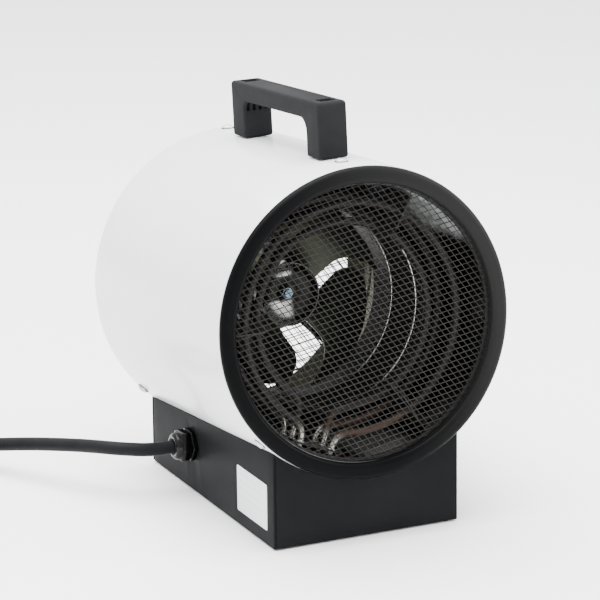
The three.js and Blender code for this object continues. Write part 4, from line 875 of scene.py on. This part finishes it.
def screw_head(place, name, node, head=4.5):
    """A pan head with its shank, and a thin dark ring round it: painted shade for the gap under its
    edge.
    """
    height = 2.6
    profile = [
        (0, -5.6), (1.6, -5.4), (2, -4.8), (2, 0), (head - 0.15, 0), (head, 0.2),
        *arc(head - 2.4, 0.2, 2.4, height - 0.3, 0, 80, 8)[1:], (1.2, height), (0, height),
    ]  # fmt: skip
    o = piece(name, *lathe_data(profile, 40), place, SCREW, stands_for=[node], slot="zinc")
    turn = Matrix.Rotation(random.Random(name).uniform(0, 1.5), 4, "Y")
    crossed(o, place @ turn, half=2.3, slit=0.45, deep=height - 1.4, top=height + 1)
    # painted shade: a thin dark ring round the foot of the head
    gap = [(head + 0.02, 0), (head + 0.7, 0), (head + 0.7, 0.4), (head + 0.02, 0.4)]
    piece("shade_ring_" + name[5:], *lathe_data(gap, 40), place, RUBBER, slot="zinc")


LOW = 44.0  # degrees below the middle, where the side screws sit
HANDLE_SCREWS = (("handle_screw_front", 54.25), ("handle_screw_rear", 195.25))
SEAT = 134.2  # height under their heads, over the drum's axis
for node, angle, along in (
    ("screw_top_front", 90, 30), ("screw_top_rear", 90, 247),
    ("screw_left_front", 180 + LOW, 14), ("screw_left_rear", 180 + LOW, 247),
    ("screw_right_front", -LOW, 14), ("screw_right_rear", -LOW, 247),
):  # fmt: skip
    screw_head(radial(angle, along, R), "head_" + node[6:], node)
for node, along in HANDLE_SCREWS:
    screw_head(radial(90, along, SEAT), "head_" + node[7:], node, head=3.9)

# ------------------------------------------------------------------ handle
FOOT, TOP, UNDER = 121.9, 166.17, 151.4  # heights over the drum's axis
FRONT, REAR, LEG, GRIP = 42.0, 207.5, 24.5, 12.4  # ends, a leg's depth, and half the width
HIP, ARMPIT, SHOULDER = 11, 6, 3.3  # radii: inside at the front, inside at the rear, and on top
in_front, in_rear = FRONT + LEG, REAR - LEG
arch = [(FRONT + 0.2, FOOT), (in_front + 0.2, FOOT), (in_front, UNDER - HIP)]
arch += arc(in_front + HIP, UNDER - HIP, HIP, HIP, 180, 90, 14)[1:]
arch += arc(in_rear - ARMPIT, UNDER - ARMPIT, ARMPIT, ARMPIT, 90, 0, 10)
arch += [(in_rear - 0.2, FOOT), (REAR - 0.2, FOOT)]
arch += arc(REAR - SHOULDER, TOP - SHOULDER, SHOULDER, SHOULDER, 0, 90, 5)
arch += arc(FRONT + SHOULDER, TOP - SHOULDER, SHOULDER, SHOULDER, 90, 180, 5)
# local x runs along the drum, and local y across it
ALONG = DRUM @ Matrix(((0, -1, 0, 0), (1, 0, 0, 0), (0, 0, 1, 0), (0, 0, 0, 1)))
handle = piece(
    "handle_arch", *prism_data(arch, -GRIP, GRIP), ALONG, PLASTIC, stands_for=["handle"],
    slot="handle_plastic",
)  # fmt: skip
soften(handle, 2.4, 5, 50)
tools = []
for _, s in HANDLE_SCREWS:  # the pockets over the screws
    pocket = [(-6.5, s - 6.2), (6.5, s - 6.2), (6.5, s + 6.2), (-6.5, s + 6.2)]
    outline = rounded(pocket, 1.2, 4)
    verts = [(x, y, z) for z in (FOOT + 12, TOP + 5) for x, y in outline]
    tools.append(raw(verts, prism_data(outline, 0, 1)[1], DRUM))
bay_from, bays = in_front + HIP, 6
bay = (in_rear - ARMPIT - bay_from) / bays
for k in range(bays):  # the bays between the ribs under the grip
    start, end = bay_from + bay * k + 1, bay_from + bay * (k + 1) - 1
    tools.append(raw(*box_data(-7.5, 7.5, start, end, UNDER - 5, UNDER + 7), DRUM))
for x in (-8.6, -3.4, 1.8, 7.0):  # the notches in the rear leg
    notch = box_data(x - 1.3, x + 1.3, in_rear - 3, in_rear + 2.5, UNDER - 7.5, UNDER - 1)
    tools.append(raw(*notch, DRUM))
cut(handle, *tools)
soften(handle, 0.5, 2, 55)
smoothed(handle, 40)

# ------------------------------------------------------------------ base
BOTTOM, SHEET, CLEARANCE = 1.5, 1.2, 0.35  # height, thickness, and the gap to the drum
CORNER, FLANGE = 2, 16  # radius of the plan's corners, and how far the flange turns in


def cradle_height(x, y):
    """Height of the drum's underside over a point of the base's plan."""
    r = R + CLEARANCE
    v = -math.sqrt(max(r * r - x * x, 0))
    return AXIS_HEIGHT - y * math.tan(TILT) + v / math.cos(TILT)


def perimeter(inset):
    """The base's plan, front right corner first, as points in order."""
    steps, across, along = 6, 56, 24
    x, y0, y1 = HALF - inset, inset, DEPTH - inset
    c = max(CORNER - inset, 0.4)
    corners = [
        (arc(cx, cy, c, c, turn, turn + 90, steps), count)
        for cx, cy, turn, count in (
            (x - c, y0 + c, -90, along), (x - c, y1 - c, 0, across),
            (-x + c, y1 - c, 90, along), (-x + c, y0 + c, 180, across),
        )
    ]  # fmt: skip
    out = []
    for i, (ring, count) in enumerate(corners):
        out += ring
        a, b = ring[-1], corners[(i + 1) % 4][0][0]
        dx, dy = b[0] - a[0], b[1] - a[1]
        out += [(a[0] + dx * k / count, a[1] + dy * k / count) for k in range(1, count)]
    return out


def shell_data():
    """The walls up to the drum, and the flange that they turn in under the base."""
    outer, inner, flange = perimeter(0), perimeter(SHEET), perimeter(FLANGE)
    n = len(outer)
    verts = [(x, y, BOTTOM) for x, y in outer] + [(x, y, cradle_height(x, y)) for x, y in outer]
    verts += [(x, y, BOTTOM + SHEET) for x, y in inner]
    verts += [(x, y, cradle_height(x, y)) for x, y in inner]
    verts += [(x, y, BOTTOM) for x, y in flange] + [(x, y, BOTTOM + SHEET) for x, y in flange]
    faces = []
    for i in range(n):
        j = (i + 1) % n
        for a, b in ((0, 1), (1, 3), (3, 2), (2, 5), (5, 4), (4, 0)):
            faces.append((a * n + i, a * n + j, b * n + j, b * n + i))
    return verts, faces


base = piece(
    "base_box", *shell_data(), BASE, CHARCOAL, stands_for=["base_shell"], slot="charcoal_enamel"
)
OUTWARD = Matrix.Rotation(math.pi / 2, 4, "Z")  # turns local +y out of the left side
GLAND_AT = BASE @ Matrix.Translation((-HALF, GLAND_BACK, GLAND_HEIGHT)) @ OUTWARD
# the front's folds show a seam, the rear is open behind its panel, and the gland has its hole
seams = [box_data(x - 0.7, x + 0.7, -1, 0.8, BOTTOM + 1, 140) for x in (1.4 - HALF, HALF - 1.4)]
cut(
    base,
    *[raw(*seam, BASE) for seam in seams],
    raw(*box_data(-HALF + 8, HALF - 8, DEPTH - 3, DEPTH + 5, BOTTOM + 8, 140), BASE),
    raw(*lathe_data([(0, -6), (10.3, -6), (10.3, 6), (0, 6)], 48), GLAND_AT),
)
soften(base, 0.3, 2, 50)
smoothed(base)

# rear panel, its edge following the drum
PANEL_FRONT, PANEL_BACK = 239.4, 240.6
CONTROL_OUT, CONTROL_HEIGHT = 57, 22.5  # of the knobs, from the middle and from the floor
top = [-HALF + 2 * HALF * k / 80 for k in range(81)]
outline = [(-HALF, BOTTOM), (HALF, BOTTOM)] + [(x, cradle_height(x, 240)) for x in reversed(top)]
panel = piece(
    "back_panel", *prism_data(outline, PANEL_FRONT, PANEL_BACK), BASE, CHARCOAL,
    stands_for=["rear_panel"], slot="charcoal_enamel",
)  # fmt: skip
shaft_hole = lathe_data([(0, 230), (4, 230), (4, 250), (0, 250)], 32)
cut(
    panel,
    *[
        raw(*shaft_hole, BASE @ Matrix.Translation((x, 0, CONTROL_HEIGHT)))
        for x in (-CONTROL_OUT, CONTROL_OUT)
    ],
)
soften(panel, 0.35, 2, 50)
smoothed(panel)
for k, (x, z) in enumerate(((-74, 50), (74, 50), (-20, 7), (20, 7))):
    place = BASE @ Matrix.Translation((x, PANEL_BACK, z))
    profile = [(0, 0), (3.2, 0), (3.3, 0.3), *arc(1.4, 0.3, 1.9, 1.3, 0, 85, 6)[1:], (0, 1.6)]
    head = piece(f"panel_screw_{k}", *lathe_data(profile, 32), place, ZINC, slot="zinc")
    turn = place @ Matrix.Rotation(0.4 + k, 4, "Y")
    crossed(head, turn, half=1.7, slit=0.35, deep=0.8, top=3)

# feet
pad = [
    (0, 0), (5.9, 0), (6.5, 0.5), (6.5, 1.2), (2.2, 1.2), (2.2, 4.5), (3.4, 4.5), (3.4, 5.2),
    (1.6, 7.2), (0, 7.2),
]  # fmt: skip
for side_x, name_x in ((-70, "left"), (70, "right")):
    for y, name_y in ((9, "front"), (230.1, "rear")):
        place = BASE @ Matrix.Translation((side_x, y, 0)) @ Matrix.Rotation(math.pi / 2, 4, "X")
        piece(f"foot_pad_{name_y}_{name_x}", *lathe_data(pad, 32), place, RUBBER,
              stands_for=[f"foot_{name_y}_{name_x}"], slot="rubber")  # fmt: skip

# knobs, with a pointer line, and the marks round them
skirt = [
    (0, 228), (3, 228), (3, 241.4), (12.6, 241.4), (13, 241.8), (13, 243.8), (12.7, 244.6),
    (11.6, 245.6), (10.8, 246.2), (0, 246.4),
]  # fmt: skip
grip = [
    (-3.1, -10.5), (3.1, -10.5), (4, -8.5), (4, 8.5), (3.1, 10.5), (-3.1, 10.5), (-4, 8.5),
    (-4, -8.5),
]  # fmt: skip
for name, x, marks in (
    ("selector", CONTROL_OUT, range(0, 136, 45)), ("thermostat", -CONTROL_OUT, range(0, 271, 27)),
):  # fmt: skip
    place = BASE @ Matrix.Translation((x, 0, CONTROL_HEIGHT))
    piece(
        name + "_cap", *several(lathe_data(skirt, 64), prism_data(grip, 245.8, 256.4)), place, KNOB,
        body=name, stands_for=[name + "_knob"], slot="black_plastic", bevel=0.5,
    )  # fmt: skip
    piece(
        name + "_pointer", *box_data(-0.5, 0.5, 256.3, 256.48, 3.5, 9.5), place, MARK, body=name,
        slot="white_enamel", bevel=0.03,
    )  # fmt: skip
    for k, a in enumerate(marks):
        turn = place @ Matrix.Rotation(rad(a), 4, "Y")
        line = box_data(-0.4, 0.4, 240.58, 240.7, 14.6, 17.4)
        piece(f"{name}_mark_{k}", *line, turn, MARK, slot="white_enamel", bevel=0.03)

# label: blank, but for a few faint lines
y0, y1, z0, z1 = 12.9, 69, 12.8, 50
label = rounded([(y0, z0), (y1, z0), (y1, z1), (y0, z1)], 1.6, 5)
verts = [(-HALF - d, y, z) for d in (0.02, 0.2) for y, z in label]
piece(
    "blank_label", verts, prism_data(label, 0, 1)[1], BASE, PAPER, slot="white_enamel", bevel=0.06
)
for k, z in enumerate((44.5, 38.5, 32.5, 26.5)):
    rule = box_data(-HALF - 0.24, -HALF - 0.19, 17, 65, z - 0.12, z + 0.12)
    piece(f"label_rule_{k}", *rule, BASE, MARK, slot="white_enamel")

# ------------------------------------------------------------------ cable gland
thread = [(0, -14), (9.4, -14), (10, -13.4), (10, 1), (9, 1), (9, 10.4), (0, 10.4)]
flange = several(hexagon(13.86, 0.3, 4.3), lathe_data(thread, 48))
piece(
    "gland_flange", *flange, GLAND_AT, GLAND, stands_for=["gland_body"], slot="gland_plastic",
    bevel=0.5, segments=3,
)  # fmt: skip
dome = [
    (9.3, 4.8), (11.2, 4.8), (11.4, 6), (11.5, 12.2), (11.3, 13.6), (10.8, 15), (9.9, 16.2),
    (9.0, 16.9), (8.2, GLAND_REACH), (7.2, GLAND_REACH), (6.4, 16.6), (6.1, 15.8), (6.1, 11.0),
    (9.3, 11.0),
]  # fmt: skip
nut_piece = piece(
    "gland_cap", *hexagon(13.3, 4.7, 12.4), GLAND_AT, GLAND, stands_for=["gland_nut"],
    slot="gland_plastic",
)  # fmt: skip
cut(nut_piece, raw(*lathe_data([(0, 0), (9.35, 0), (9.35, 20), (0, 20)], 64), GLAND_AT))
soften(nut_piece, 0.9, 3, 40)
smoothed(nut_piece)
piece("gland_dome", *lathe_data(dome, 96), GLAND_AT, GLAND, slot="gland_plastic", smooth=45)
seal = [(5.6, 10.6), (9.2, 10.6), (9.2, 10.9), (6.0, 12), (6.0, 16.4), (5.6, 16.8)]
piece("gland_seal", *lathe_data(seal, 64), GLAND_AT, RUBBER, slot="rubber")

# ------------------------------------------------------------------ CAD nodes that stay
FINISHES = {
    "rear_ring": INSIDE, "shield_spacer": ZINC, "thermal_cutout": CERAMIC, "motor_shaft": NUT,
    "floor_plate": ZINC, "selector_body": KNOB, "thermostat_body": KNOB,
    "terminal_block": CERAMIC, "gland_locknut": GLAND, "coil_tie": STRAP,
}  # fmt: skip
for node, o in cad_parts.items():
    if o.hide_render:
        continue
    o.data.materials.clear()
    o.data.materials.append(FINISHES.get(node, BRACKET))
    smoothed(o, 30)
    if node != "rear_ring":
        m = o.modifiers.new("edge", "BEVEL")
        m.width = 0.25 * MM
        m.segments = 2
        m.limit_method = "ANGLE"
        m.angle_limit = rad(40)


# ------------------------------------------------------------------ floor, backdrop and light
def stage():
    """A pale floor that runs far out."""
    mesh = bpy.data.meshes.new("floor")
    size = 6.0
    corners = [(-size, -size, 0), (size, -size, 0), (size, size, 0), (-size, size, 0)]
    mesh.from_pydata(corners, [], [(0, 1, 2, 3)])
    floor = bpy.data.objects.new("floor", mesh)
    bpy.context.scene.collection.objects.link(floor)
    pale = material(
        "studio_floor", (0.97, 0.97, 0.97), 0.55, tint=(0.955, 0.955, 0.955), patches=2,
        specular=0.25,
    )  # fmt: skip
    mesh.materials.append(pale)


def light(name, size, power, place, target):
    """A soft rectangular light, turned to a target."""
    data = bpy.data.lights.new(name, "AREA")
    data.shape = "RECTANGLE"
    data.size, data.size_y = size
    data.energy = power
    o = bpy.data.objects.new(name, data)
    bpy.context.scene.collection.objects.link(o)
    o.location = place
    o.rotation_euler = (Vector(target) - Vector(place)).to_track_quat("-Z", "Y").to_euler()


stage()
world = bpy.data.worlds.new("studio")
bpy.context.scene.world = world
world.use_nodes = True
background = world.node_tree.nodes["Background"]
background.inputs["Color"].default_value = (1, 1, 1, 1)
background.inputs["Strength"].default_value = 2.1
light("top", size=(2.0, 2.0), power=165, place=(-0.3, 0.2, 1.9), target=(0, 0, 0.1))
light("left", size=(0.9, 1.2), power=4, place=(-1.6, -0.1, 0.9), target=(0, 0, 0.15))
light("right", size=(0.5, 1.2), power=26, place=(1.5, -0.7, 0.8), target=(0, 0, 0.15))
